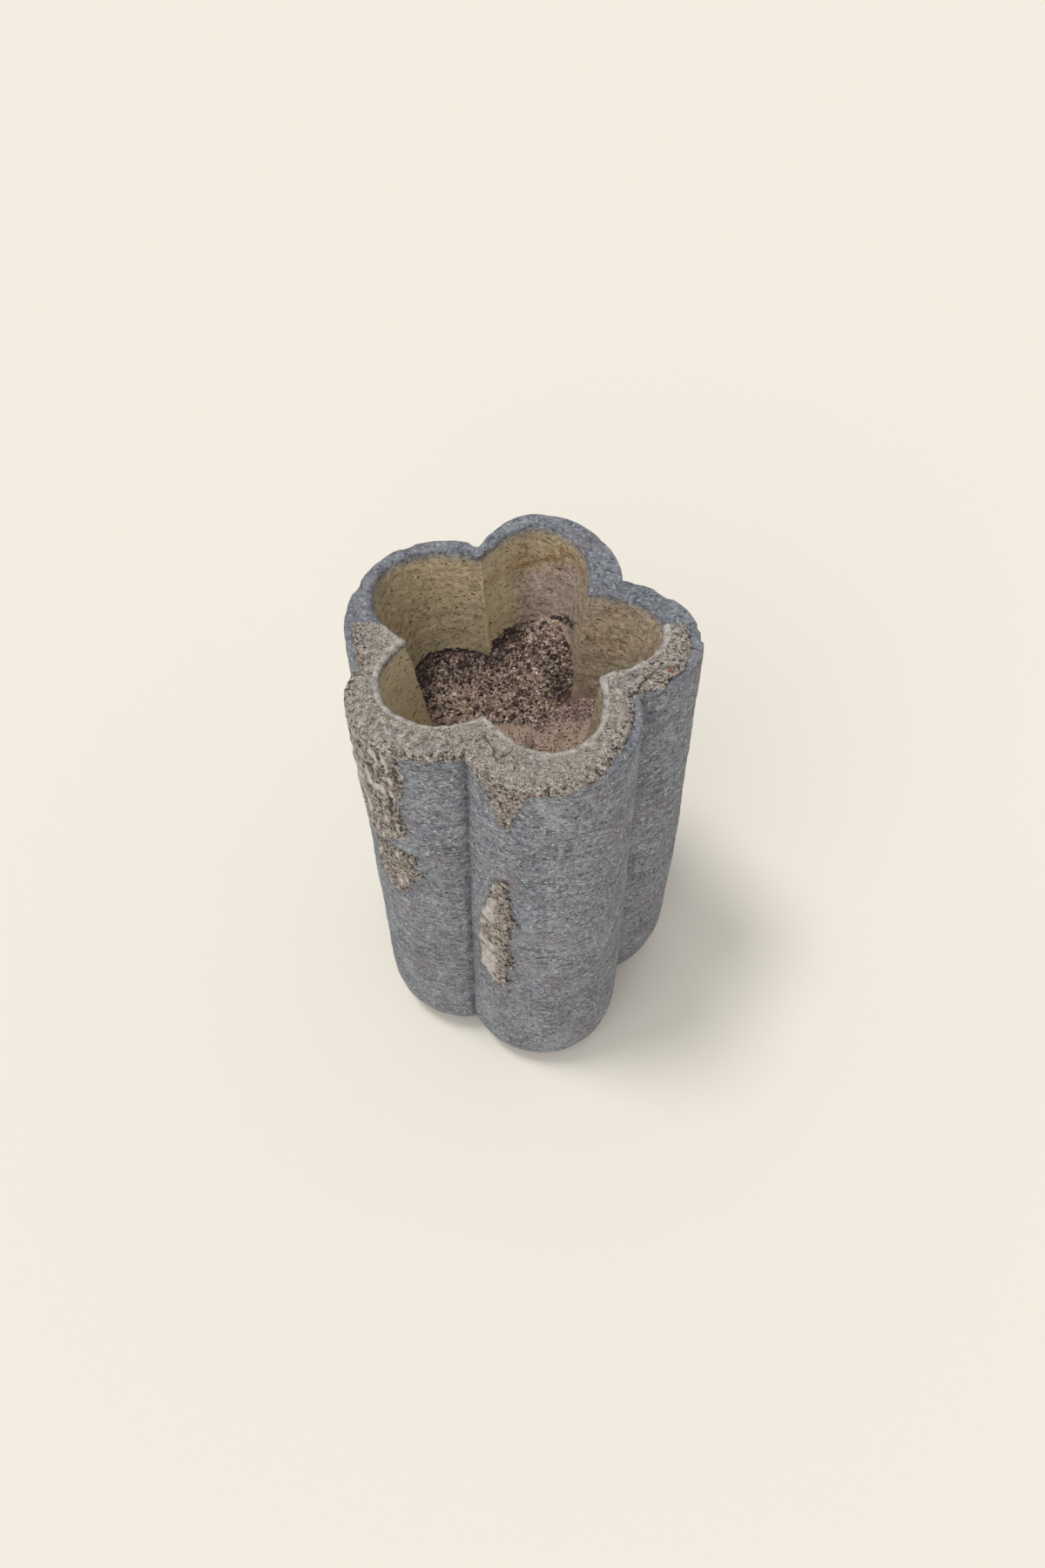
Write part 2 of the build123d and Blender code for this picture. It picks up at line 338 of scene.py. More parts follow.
def srgb(code: str) -> tuple[float, float, float, float]:
    """Linear colour, with alpha, of a hex code."""
    parts = [int(code[place:place + 2], 16) / 255.0 for place in (1, 3, 5)]
    linear = [part / 12.92 if part <= 0.04045 else ((part + 0.055) / 1.055) ** 2.4 for part in parts]
    return (linear[0], linear[1], linear[2], 1.0)


def add_node(
    tree: Tree,
    kind: str,
    settings: Optional[dict[str, Any]] = None,
    inputs: Optional[dict[Any, Any]] = None,
) -> bpy.types.Node:
    """Add one shader node.

    Args:
        tree: Node tree to add it to.
        kind: Blender's name of the node type.
        settings: The node's own properties.
        inputs: Value or output socket for each input, by name or number.

    Returns:
        The new node.
    """
    node = tree.nodes.new(kind)
    for name, value in (settings or {}).items():
        setattr(node, name, value)
    for name, value in (inputs or {}).items():
        if isinstance(value, Socket):
            tree.links.new(value, node.inputs[name])
        else:
            node.inputs[name].default_value = value
    return node


def banded(tree: Tree, factor: Socket, low: float, high: float,
           out_low: float = 0.0, out_high: float = 1.0) -> Socket:
    """Map a factor from one range to another, smoothly and clamped."""
    node = add_node(tree, "ShaderNodeMapRange", {"interpolation_type": "SMOOTHSTEP"}, {
        "Value": factor, "From Min": low, "From Max": high, "To Min": out_low, "To Max": out_high})
    return node.outputs[0]


def mixed(tree: Tree, factor: Any, first: Any, second: Any) -> Socket:
    """Mix two colours by a factor."""
    node = add_node(tree, "ShaderNodeMix", {"data_type": "RGBA"}, {0: factor, 6: first, 7: second})
    return node.outputs[2]


def sums(tree: Tree, how: str, first: Any, second: Any) -> Socket:
    """Arithmetic on two values."""
    node = add_node(tree, "ShaderNodeMath", {"operation": how}, {0: first, 1: second})
    return node.outputs[0]


class Finish:
    """A material under construction, with its coordinates and shader at hand."""

    def __init__(self, name: str, roughness: float, ior: float) -> None:
        """Start an empty material with one shader."""
        self.material = bpy.data.materials.new(name)
        self.material.use_nodes = True
        self.tree = self.material.node_tree
        self.shader = self.tree.nodes["Principled BSDF"]
        self.shader.inputs["Roughness"].default_value = roughness
        self.shader.inputs["IOR"].default_value = ior
        self.where = add_node(self.tree, "ShaderNodeTexCoord").outputs["Object"]

    def mask(self, name: str) -> Socket:
        """Value of a number kept at the mesh's points."""
        return add_node(self.tree, "ShaderNodeAttribute", {"attribute_name": name}).outputs["Fac"]

    def field(
        self,
        size: float,
        detail: float,
        stretch: tuple[float, float, float] = (1.0, 1.0, 1.0),
        rough: float = 0.6,
    ) -> Socket:
        """Noise on the piece's own coordinates, 0 to 1 about 0.5.

        Args:
            size: Lump width in mm.
            detail: Number of finer layers.
            stretch: Squeeze along each axis, over 1 for shorter lumps.
            rough: Strength of the finer layers.

        Returns:
            The noise factor.
        """
        mapped = add_node(self.tree, "ShaderNodeMapping", None, {"Vector": self.where, "Scale": stretch})
        made = add_node(self.tree, "ShaderNodeTexNoise", None, {
            "Vector": mapped.outputs[0], "Scale": 1.0 / (size * MM), "Detail": detail, "Roughness": rough})
        return made.outputs[0]

    def over(
        self,
        under: Any,
        colour: Any,
        field: Socket,
        low: float,
        high: float,
        strength: float = 1.0,
    ) -> Socket:
        """Lay a colour over another where a field runs from one value to another.

        Args:
            under: Colour beneath, as a value or a socket.
            colour: Colour to lay, as a hex code or a socket.
            field: Values to go by.
            low: Value at which nothing of the colour shows.
            high: Value at which it shows most.
            strength: Share of the colour there, 0 to 1.

        Returns:
            The colours together.
        """
        laid = srgb(colour) if isinstance(colour, str) else colour
        return mixed(self.tree, banded(self.tree, field, low, high, 0.0, strength), under, laid)

    def painted(self, under: Any, name: str, colour: str, strength: float = 1.0) -> Socket:
        """Lay a colour over another by a number kept at the mesh's points."""
        share = sums(self.tree, "MULTIPLY", self.mask(name), strength)
        return mixed(self.tree, share, under, srgb(colour))

    def close(
        self, colour: Socket, height: Socket, depth: float
    ) -> Material:
        """Link the colour and a bump of a depth in mm, and give the material."""
        bump = add_node(self.tree, "ShaderNodeBump", None,
                        {"Height": height, "Distance": depth * MM, "Strength": 1.0})
        self.tree.links.new(colour, self.shader.inputs["Base Color"])
        self.tree.links.new(bump.outputs[0], self.shader.inputs["Normal"])
        return self.material


class StoneFields(NamedTuple):
    """The noise that the stone's bare and stained faces share."""

    grain: Socket
    clouds: Socket
    strokes: Socket
    blots: Socket


@dataclass(frozen=True)
class BlueLimestone:
    """Weathered blue limestone with an ochre stain inside: close grain, dark dots, dull and dry."""

    light: str = "#b4b8be"
    middle: str = "#84888f"
    dark: str = "#4d5056"
    scuff: str = "#b0b3b7"
    purple: str = "#8a7a82"
    dot: str = "#34373c"
    fleck: str = "#c9cdd1"
    crown: str = "#575c64"
    # Painted shade: colour of the dark line along the outside grooves.
    groove: str = "#33363b"
    ochre: str = "#b7a382"
    ochre_light: str = "#cfc1a3"
    ochre_scuff: str = "#c4b698"
    ochre_dark: str = "#79624a"
    ochre_grey: str = "#9a9580"
    gold: str = "#b3904f"
    pink: str = "#b4a091"
    pink_light: str = "#cbb8b0"
    pink_dark: str = "#6e5650"
    # Painted light: pale colour that lifts inner walls turned away from the lamps.
    painted_light: str = "#e6d6b0"
    # Painted shade: colour of the shadows in small tool dents on the inner wall.
    dent_shade: str = "#46341f"
    silt: str = "#bfa698"
    # Dark colour of real dirt on the old soil line and of painted shade where the fill meets the wall.
    dirt_and_shade: str = "#33272a"
    grain_mm: float = 3.8
    fine_mm: float = 1.2

    def build(self) -> Material:
        """Build the stone's material, bare outside and stained inside."""
        made = Finish("weathered_blue_limestone", 0.92, 1.5)
        tree = made.tree
        fine = made.field(self.fine_mm, 1.0)
        fields = StoneFields(
            grain=made.field(self.grain_mm, 4.0, rough=0.8),
            clouds=made.field(38.0, 4.0),
            strokes=made.field(17.0, 4.0, (1.0, 1.0, 3.6), 0.7),
            blots=made.field(8.0, 3.0, (1.0, 1.0, 1.5), 0.65),
        )
        edge = sums(tree, "ADD", made.mask("inside"), sums(tree, "MULTIPLY", fields.clouds, 0.5))
        edge = sums(tree, "ADD", edge, sums(tree, "MULTIPLY", fields.grain, 0.5))
        colour = made.over(self.bare(made, fields), self.stained(made, fields), edge, 0.75, 1.35)
        height = sums(tree, "ADD", fields.grain, sums(tree, "MULTIPLY", fine, 0.35))
        return made.close(colour, height, 1.5)

    def bare(self, made: Finish, fields: StoneFields) -> Socket:
        """Colour of the bare stone outside, with painted shade along the grooves and towards the foot."""
        grain, clouds, strokes, blots = fields
        tree = made.tree
        cut = made.mask("cut")
        tint = made.field(50.0, 3.0)
        dots = made.field(4.6, 1.5, (1.0, 1.0, 2.0))
        flecks = made.field(5.2, 1.5, (1.0, 1.0, 1.6))
        skin = srgb(self.dark)
        for colour, field, low, high, strength in (
            (self.middle, grain, 0.34, 0.52, 1.0),
            (self.light, grain, 0.52, 0.7, 1.0),
            (self.scuff, blots, 0.54, 0.66, 0.6),
            (self.dark, blots, 0.46, 0.36, 0.6),
            (self.scuff, clouds, 0.5, 0.66, 0.4),
            (self.dark, clouds, 0.48, 0.34, 0.35),
            (self.scuff, strokes, 0.54, 0.66, 0.5),
            (self.dark, strokes, 0.46, 0.36, 0.4),
            (self.dark, cut, 0.4, 0.0, 0.3),
            (self.scuff, cut, 0.6, 1.0, 0.25),
            (self.purple, tint, 0.5, 0.64, 0.4),
            (self.dot, dots, 0.585, 0.65, 0.85),
            (self.fleck, flecks, 0.6, 0.68, 0.7),
        ):
            skin = made.over(skin, colour, field, low, high, strength)
        # Painted shade: the outside grows darker towards the foot.
        rise = add_node(tree, "ShaderNodeSeparateXYZ", None, {0: made.where}).outputs[2]
        skin = mixed(tree, banded(tree, rise, 0.05, 0.5, 0.13, 0.0), skin, srgb(self.dark))
        skin = made.painted(skin, "crown", self.crown)
        # Painted shade: a dark dotted line along each outside groove.
        return made.painted(skin, "groove", self.groove)

    def stained(self, made: Finish, fields: StoneFields) -> Socket:
        """Colour of the stained wall inside, with painted light on walls turned from the lamps, painted shade
        in small dents and painted shade along the fill's edge.
        """
        grain, clouds, strokes, blots = fields
        tree = made.tree
        dent_shade_spots = made.field(6.0, 2.0, (1.0, 1.0, 2.2))
        base = made.painted(srgb(self.ochre), "pink", self.pink)
        base = made.over(base, self.ochre_grey, clouds, 0.46, 0.62, 0.6)
        base = made.painted(base, "gold", self.gold)
        shadow = made.painted(srgb(self.ochre_dark), "pink", self.pink_dark)
        glint = made.painted(srgb(self.ochre_light), "pink", self.pink_light)
        wall = shadow
        for colour, field, low, high, strength in (
            (base, grain, 0.32, 0.52, 1.0),
            (glint, grain, 0.52, 0.68, 1.0),
            (self.ochre_scuff, strokes, 0.54, 0.68, 0.4),
            (shadow, strokes, 0.46, 0.34, 0.45),
            (glint, blots, 0.53, 0.66, 0.5),
            (shadow, blots, 0.47, 0.35, 0.5),
        ):
            wall = made.over(wall, colour, field, low, high, strength)
        # Painted light on the inner walls that face away from the lamps.
        wall = made.painted(wall, "painted_light", self.painted_light, 0.55)
        # Painted shade: dark horizontal spots standing for the shadows in small tool dents.
        wall = made.over(wall, self.dent_shade, dent_shade_spots, 0.59, 0.67, 0.85)
        silted = sums(tree, "ADD", made.mask("silted"), grain)
        wall = made.over(wall, self.silt, silted, 0.85, 1.25)
        # Real dirt on the old soil line, and painted shade along the wall where the fill meets it.
        dirt_and_shade_edge = sums(tree, "ADD", made.mask("dirt_and_shade"), dent_shade_spots)
        return made.over(wall, self.dirt_and_shade, dirt_and_shade_edge, 0.98, 1.12)


@dataclass(frozen=True)
class LimeCrust:
    """Pale, coarse lime layer, like render weathered open: sandy grain with dark brown hollows, painted shade
    in its openings and sunk places, and a painted highlight on its lip and lit edges.
    """

    sand: str = "#9d9389"
    pale: str = "#d3ccc2"
    grey: str = "#94918a"
    hollow: str = "#53473d"
    blot: str = "#62554a"
    scuff: str = "#d3ccc3"
    pink: str = "#a38f87"
    # Painted shade: colour of the dark openings in the coarse crust.
    opening: str = "#392d23"
    # Painted shade: colour of the crust's sunk hollows and gaps.
    sunk: str = "#3c2f25"
    shine: str = "#e4ded6"
    rust: str = "#8a4f2c"
    crack: str = "#2d241d"
    # Painted highlight: colour of the crust's lit lip and left-facing edges.
    painted_highlight: str = "#d8d4cd"
    grain_mm: float = 1.8

    def build(self) -> Material:
        """Build the crust's material."""
        made = Finish("weathered_lime_crust", 0.95, 1.5)
        tree = made.tree
        coarse = made.mask("coarse")
        grain = made.field(self.grain_mm, 2.0, rough=0.7)
        patches = made.field(26.0, 3.0)
        blots = made.field(8.0, 3.0, rough=0.65)
        clots = made.field(self.grain_mm * 2.4, 2.0)
        blooms = made.field(self.grain_mm * 2.0, 1.0)
        skin = srgb(self.hollow)
        for colour, field, low, high, strength in (
            (self.sand, grain, 0.33, 0.48, 1.0),
            (self.pale, grain, 0.5, 0.66, 1.0),
            (self.grey, patches, 0.42, 0.66, 0.4),
            (self.blot, blots, 0.47, 0.34, 0.65),
            (self.scuff, blots, 0.54, 0.66, 0.5),
        ):
            skin = made.over(skin, colour, field, low, high, strength)
        skin = made.painted(skin, "fringe", self.pink, 0.5)
        # Painted shade in the crust's openings and sunk hollows.
        opening_shade = sums(tree, "ADD", clots, sums(tree, "MULTIPLY", coarse, -0.1))
        skin = made.over(skin, self.opening, opening_shade, 0.38, 0.3, 0.9)
        skin = made.painted(skin, "sunk", self.sunk, 0.9)
        shine = sums(tree, "ADD", blooms, sums(tree, "MULTIPLY", coarse, 0.05))
        skin = made.over(skin, self.shine, shine, 0.64, 0.72, 0.35)
        # Real rust and cracks, then the painted highlight.
        for name, colour in (("rust", self.rust), ("crack", self.crack), ("painted_highlight", self.painted_highlight)):
            skin = made.painted(skin, name, colour)
        return made.close(skin, grain, 2.3)


@dataclass(frozen=True)
class LoosePieces:
    """Loose litter, silt, soil or gravel, its colour picked piece by piece from dark to pale."""

    name: str
    dark: str
    middle: str
    pale: str
    grain_mm: float
    depth_mm: float
    roughness: float = 0.95
    strewn: bool = False
    silty: str = "#b29a8a"

    def build(self) -> Material:
        """Build the loose fill's material."""
        made = Finish(self.name, self.roughness, 1.45)
        grain = made.field(self.grain_mm, 3.0, rough=0.7)
        patches = made.field(self.grain_mm * 9.0, 3.0)
        skin = made.over(srgb(self.dark), self.middle, grain, 0.34, 0.56)
        skin = made.over(skin, self.pale, grain, 0.56, 0.74)
        skin = made.over(skin, self.dark, patches, 0.48, 0.62, 0.35)
        if self.strewn:
            tone = made.mask("tone")
            skin = made.painted(skin, "silty", self.silty)
            skin = made.over(skin, self.pale, tone, 0.55, 0.98)
            skin = made.over(skin, self.dark, tone, 0.45, 0.02)
        return made.close(skin, grain, self.depth_mm)


class Fill(Enum):
    """The loose and fired fillings, each with its finish."""

    LITTER = LoosePieces("leaf_and_bark_litter", "#36292a", "#b59b89", "#fff6e8", 3.0, 1.6, strewn=True)
    SILT = LoosePieces("settled_silt", "#4a362f", "#a58c81", "#fdf2ea", 3.0, 1.6, strewn=True)
    CHIPS = LoosePieces("broken_stone_chips", "#7b6a60", "#a08f83", "#c4b6a7", 2.6, 0.9, strewn=True)
    SOIL = LoosePieces("old_garden_soil", "#241b15", "#3d2e24", "#5d4a3b", 4.0, 2.5)
    GRAVEL = LoosePieces("river_gravel", "#6a665f", "#8d887f", "#b3aea4", 9.0, 5.0)
    CLAY = LoosePieces("fired_clay", "#8a4a30", "#a7603f", "#bd7b58", 3.5, 0.5, 0.85)


def only(thing: Thing) -> None:
    """Select one object and make it active."""
    bpy.ops.object.select_all(action="DESELECT")
    thing.select_set(True)
    bpy.context.view_layer.objects.active = thing


def new_piece(name: str) -> Thing:
    """Name the primitive that was just added."""
    thing = bpy.context.active_object
    thing.name = name
    thing.data.name = name
    return thing


def read_points(thing: Thing) -> Array:
    """Points of a mesh, in rows."""
    flat = np.empty(len(thing.data.vertices) * 3)
    thing.data.vertices.foreach_get("co", flat)
    return flat.reshape(-1, 3)


def write_points(thing: Thing, places: Array) -> None:
    """Put a mesh's points at places in mm about the block's axis, in the shared frame."""
    moved = (places + np.array([AXIS[0], AXIS[1], 0.0])) * MM
    lowest, highest = np.array(CAD_BOX[0][:2]), np.array(CAD_BOX[1][:2])
    moved[:, :2] = np.clip(moved[:, :2], lowest + BOX_MARGIN, highest - BOX_MARGIN)
    thing.data.vertices.foreach_set("co", moved.ravel())
    thing.data.update()


def write_mask(thing: Thing, name: str, values: Array) -> None:
    """Keep one number at each point of a mesh."""
    made = thing.data.attributes.new(name, "FLOAT", "POINT")
    made.data.foreach_set("value", np.clip(values, 0.0, 1.0).astype(np.float32).ravel())


def write_masks(
    thing: Thing, masks: dict[str, Array], row: Array, column: Array
) -> None:
    """Keep several grids of numbers at the points of a grid, by their rows and columns."""
    for name, values in masks.items():
        write_mask(thing, name, values[row, column])


def merge_and_face_out(thing: Thing) -> None:
    """Merge doubled points and turn every face outwards."""
    only(thing)
    bpy.ops.object.mode_set(mode="EDIT")
    bpy.ops.mesh.select_all(action="SELECT")
    bpy.ops.mesh.remove_doubles(threshold=0.00001)
    bpy.ops.mesh.normals_make_consistent(inside=False)
    bpy.ops.object.mode_set(mode="OBJECT")


def shade(thing: Thing, degrees: float) -> None:
    """Shade smooth, but for edges sharper than an angle."""
    only(thing)
    bpy.ops.object.shade_smooth_by_angle(angle=math.radians(degrees))


def apply_modifier(thing: Thing, kind: str, settings: dict[str, Any]) -> None:
    """Add one modifier with its settings and apply it."""
    only(thing)
    made = thing.modifiers.new(kind.lower(), kind)
    for name, value in settings.items():
        setattr(made, name, value)
    bpy.ops.object.modifier_apply(modifier=made.name)


def dress(thing: Thing, material: Material, slot: str, *nodes: str) -> Thing:
    """Give a finished piece its material and its place in the model, and hide the nodes it stands for."""
    thing.data.materials.clear()
    thing.data.materials.append(material)
    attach(thing, "root")
    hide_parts(*nodes)
    LOG.info("%s: %d faces", thing.name, len(thing.data.polygons))
    return thing


def grid_piece(name: str, columns: int, rows: int) -> tuple[Thing, Array, Array]:
    """Add a flat grid to be shaped.

    Args:
        name: Name of the piece.
        columns: Faces across.
        rows: Faces along.

    Returns:
        The piece, and the column and row number of each of its points.
    """
    bpy.ops.object.select_all(action="DESELECT")
    bpy.ops.mesh.primitive_grid_add(x_subdivisions=columns, y_subdivisions=rows, size=2.0)
    thing = new_piece(name)
    flat = read_points(thing)
    across = np.unique(flat[:, 0].round(5)).size - 1
    along = np.unique(flat[:, 1].round(5)).size - 1
    column = np.rint((flat[:, 0] + 1.0) / 2.0 * across).astype(int)
    row = np.rint((flat[:, 1] + 1.0) / 2.0 * along).astype(int)
    return thing, column, row


@dataclass
class StoneVessel:
    """The carved block: outside, worn rim, lip, hollow and drain hole in one closed skin."""

    columns_per_lobe: int = 84
    cuts: int = 14
    foot_rows: int = 12
    rim_rows: int = 5
    top_rows: int = 9
    lip_rows: int = 4
    wall_rows: int = 40
    wall_end: float = 440.0
    deep_rows: int = 11
    floor_rows: int = 5
    drain_rows: int = 4
    under_rows: int = 14

    def rings(self) -> Array:
        """Every ring of points, from the drain hole round the outside and down the hollow."""
        rows = (self.cuts + 1) ** 2 + 1
        columns = self.columns_per_lobe * 5
        turn = np.arange(columns) / self.columns_per_lobe
        floor = STONE_HEIGHT - HOLLOW_DEPTHS[-1]
        used = (self.foot_rows + self.rim_rows + self.top_rows + self.lip_rows + self.wall_rows
                + self.deep_rows + self.floor_rows + self.drain_rows + self.under_rows)
        flank_rows = rows - 1 - used
        places = []

        def outside(height: float) -> Array:
            """One ring of the outside."""
            level = np.full(columns, height)
            bearing = OUTSIDE.bearing(turn, level / STONE_HEIGHT)
            return at_bearing(outer_radius(bearing, level), bearing, level)

        def inside(height: float) -> Array:
            """One ring of the hollow."""
            level = np.full(columns, height)
            bearing = MOUTH.bearing(turn, np.ones(columns))
            return at_bearing(inner_radius(bearing, level), bearing, level)

        def drain(height: float) -> Array:
            """One ring of the drain hole."""
            bearing = OUTSIDE.bearing(turn, np.zeros(columns))
            return at_bearing(np.full(columns, DRAIN_RADIUS), bearing, np.full(columns, height))

        def between(first: Array, last: Array, count: int) -> None:
            """Add rings from one to just before another."""
            places.extend(first + (last - first) * step / count for step in range(count))

        between(drain(floor), drain(0.0), self.drain_rows)
        between(drain(0.0), outside(0.0), self.under_rows)
        for step in range(self.foot_rows):
            turned = math.radians(90.0 * step / self.foot_rows)
            places.append(outside(FOOT_WEAR_HEIGHT * (1.0 - math.cos(turned))))
        flank_end = STONE_HEIGHT - RIM_WEAR
        for step in range(flank_rows):
            places.append(outside(FOOT_WEAR_HEIGHT + (flank_end - FOOT_WEAR_HEIGHT) * step / flank_rows))
        for step in range(self.rim_rows):
            turned = math.radians(90.0 * step / self.rim_rows)
            places.append(outside(flank_end + RIM_WEAR * math.sin(turned)))
        between(outside(STONE_HEIGHT), inside(STONE_HEIGHT), self.top_rows)
        for step in range(self.lip_rows):
            turned = math.radians(90.0 * step / self.lip_rows)
            places.append(inside(STONE_HEIGHT - LIP_WEAR * (1.0 - math.cos(turned))))
        wall_start = STONE_HEIGHT - LIP_WEAR
        for step in range(self.wall_rows):
            places.append(inside(wall_start + (self.wall_end - wall_start) * step / self.wall_rows))
        for step in range(self.deep_rows):
            places.append(inside(self.wall_end + (floor - self.wall_end) * step / self.deep_rows))
        between(inside(floor), drain(floor), self.floor_rows)
        places.append(drain(floor))
        return np.array(places)

    def build(self, material: Material) -> Thing:
        """Carve the block from an open cylinder cut into rings."""
        places = self.rings()
        count, columns = places.shape[:2]
        bpy.ops.object.select_all(action="DESELECT")
        bpy.ops.mesh.primitive_cylinder_add(vertices=columns, radius=1.0, depth=2.0, end_fill_type="NOTHING")
        stone = new_piece("stone_vessel_carved")
        bpy.context.tool_settings.mesh_select_mode = (False, True, False)
        for _ in range(2):
            bpy.ops.object.mode_set(mode="EDIT")
            bpy.ops.mesh.select_all(action="DESELECT")
            bpy.ops.object.mode_set(mode="OBJECT")
            flat = read_points(stone)
            ends = np.empty(len(stone.data.edges) * 2, dtype=np.int32)
            stone.data.edges.foreach_get("vertices", ends)
            rise = np.abs(flat[ends[0::2], 2] - flat[ends[1::2], 2])
            stone.data.edges.foreach_set("select", rise > 1e-6)
            bpy.ops.object.mode_set(mode="EDIT")
            bpy.ops.mesh.subdivide(number_cuts=self.cuts)
            bpy.ops.object.mode_set(mode="OBJECT")
        bpy.context.tool_settings.mesh_select_mode = (True, False, False)
        flat = read_points(stone)
        column = np.rint(np.arctan2(flat[:, 1], flat[:, 0]) / (2.0 * np.pi) * columns).astype(int) % columns
        row = np.rint((flat[:, 2] + 1.0) / 2.0 * (count - 1)).astype(int)

        height = places[..., 2]
        index = np.arange(count)[:, None] * np.ones((1, columns))
        foot = self.drain_rows + self.under_rows
        bottom = count - 1 - self.floor_rows
        lip = bottom - self.deep_rows - self.wall_rows - self.lip_rows
        top = lip - self.top_rows
        normal = grid_normals(places, True)
        normal[:foot + 1] = (0.0, 0.0, -1.0)
        blend = smooth_step(index, foot, foot + 8) * fade(index, top + 5, lip)
        relief = blend * outside_relief(places)
        wall = smooth_step(index, lip - 2, lip + 5) * fade(index, bottom - 2, bottom)
        relief += wall * inside_relief(places)
        rim = smooth_step(height, 590.0, 603.0) * (index > foot) * (index <= lip + 3)
        relief -= 2.8 * rim * smooth_step(lumps(places, 17.0, 13), 0.12, 0.6)
        carved = places + normal * relief[..., None]
        carved[:foot + 1, :, 2] = places[:foot + 1, :, 2]
        carved[top:lip, :, 2] = np.minimum(carved[top:lip, :, 2], STONE_HEIGHT - 0.2)
        write_points(stone, carved[row, column])

        write_masks(stone, self.stains(places, index, foot, top, lip), row, column)
        merge_and_face_out(stone)
        shade(stone, 60.0)
        return dress(stone, material, "blue_limestone", "stone_vessel")

    def stains(
        self, places: Array, index: Array, foot: int, top: int, lip: int
    ) -> dict[str, Array]:
        """Where the stone is stained, worn or dirty, and where painted shade and painted light lie on it.

        Args:
            places: Points of the rings in mm, by ring and column.
            index: Ring number of each point.
            foot: Ring at the foot's edge.
            top: First ring on the rim's top.
            lip: First ring of the lip.

        Returns:
            Numbers from 0 to 1 by the name of each mask.
        """
        bearing = bearing_of(places)
        height = places[..., 2]
        on_back = window(bearing, 56.0, 64.0, 106.0, 114.0)
        outside = index > foot

        line = along_line(bearing, OLD_SOIL_LINE)
        dirt_and_shade = on_back * fade(np.abs(height - line), 3.0, 18.0) * 0.6
        # Painted shade: a dark band on the back and left walls where the litter and silt meet them.
        shady = np.maximum(smooth_step(bearing, 56.0, 66.0), smooth_step(-bearing, 160.0, 175.0))
        litter_contact_line = SILT_TOP + HEAP_SLOPE * np.maximum(along_heap(places), 0.0)
        ragged = height - litter_contact_line - 4.0 * lumps(places, 14.0, 18)
        dirt_and_shade = np.maximum(dirt_and_shade, 0.8 * shady * fade(ragged, -4.0, 9.0))

        ledge = along_line(bearing, GOLD_STAIN)
        gold = on_back * fade(np.abs(height - ledge - 3.0 - jagged(places)), 1.0, 10.0)
        gold = gold * (0.75 + 1.0 * lumps(places, 16.0, 14)) * (0.5 + 0.5 * smooth_step(bearing, 76.0, 100.0))

        pink = on_back * smooth_step(ledge - height, 2.0, 20.0) * smooth_step(-bearing, -102.0, -84.0)
        wavy = height + 14.0 * lumps(places, 22.0, 15)
        near_silt = fade(wavy, SILT_TOP + 6.0, SILT_TOP + 66.0)
        right_wall = window(bearing, -60.0, -30.0, 52.0, 70.0)
        pink = np.maximum(pink, right_wall * (0.35 + 0.65 * near_silt))

        # Painted light on the front-left inner walls and the back lobe's left side, which face away from the
        # lamps.
        round_left = np.mod(bearing, 360.0)
        painted_light = smooth_step(round_left, 168.0, 186.0) * fade(round_left, 236.0, 250.0)
        painted_light += 0.25 * smooth_step(bearing, 86.0, 100.0)
        painted_light += 0.65 * window(bearing, 90.0, 99.0, 109.0, 112.0)

        silted = fade(height - SILT_TOP - 12.0 * lumps(places, 14.0, 17), 4.0, 34.0)
        share = np.clip(height / STONE_HEIGHT, 0.0, 1.0)
        # Painted shade: a dark dotted line along each outside groove.
        groove = groove_nearness(bearing, share, 1.4) * outside * (index < top)
        return {
            "inside": smooth_step(index, lip + 0.5, lip + 9.0),
            "dirt_and_shade": dirt_and_shade,
            "gold": gold,
            "pink": pink,
            "groove": groove * (0.5 + 0.9 * lumps(places, 7.0, 12)) * 0.75,
            "cut": 0.5 + 0.5 * tool_strokes(places),
            "painted_light": painted_light,
            "silted": silted * smooth_step(-bearing, -62.0, -48.0),
            "crown": 0.28 * smooth_step(height, 596.0, 604.0) * outside,
        }


class Crack(NamedTuple):
    """A crack in the crust, as points about the block's axis in mm, and its width."""

    points: tuple[tuple[float, float], ...]
    width: float


RIM_CRACKS = (
    Crack(((-45.5, -145.5), (-38.6, -140.9), (-33.0, -150.0), (-29.5, -159.1), (-24.2, -170.3)), 1.5),
    Crack(((-24.2, -170.3), (-13.1, -160.6), (-8.0, -155.0)), 1.1),
    Crack(((-8.6, -184.7), (-5.0, -176.0), (-2.6, -165.8)), 0.9),
    Crack(((-86.5, -165.8), (-73.8, -159.1), (-61.3, -147.2), (-48.2, -144.9)), 0.9),
    Crack(((115.5, -83.1), (125.4, -68.4), (139.4, -49.7), (147.4, -39.6)), 1.6),
)
RUST_SPOT = (156.0, -49.0)


def line_gap(across: Array, along: Array, points: Sequence[tuple[float, float]]) -> Array:
    """Distance from places to the nearest stretch of a line of points."""
    gap = np.full(across.shape, 1e6)
    for (x0, y0), (x1, y1) in zip(points[:-1], points[1:]):
        dx, dy = x1 - x0, y1 - y0
        part = np.clip(((across - x0) * dx + (along - y0) * dy) / (dx * dx + dy * dy), 0.0, 1.0)
        gap = np.minimum(gap, np.hypot(across - x0 - part * dx, along - y0 - part * dy))
    return gap


def inside_depth(across: Array, along: Array, points: Sequence[tuple[float, float]]) -> Array:
    """Distance inside a closed outline, below 0 outside it."""
    closed = list(points) + [points[0]]
    gap = line_gap(across, along, closed)
    within = np.zeros(across.shape, dtype=bool)
    for (x0, y0), (x1, y1) in zip(closed[:-1], closed[1:]):
        if y0 == y1:
            continue
        crosses = (y0 > along) != (y1 > along)
        within ^= crosses & (across < (x1 - x0) * (along - y0) / (y1 - y0) + x0)
    return np.where(within, gap, -gap)


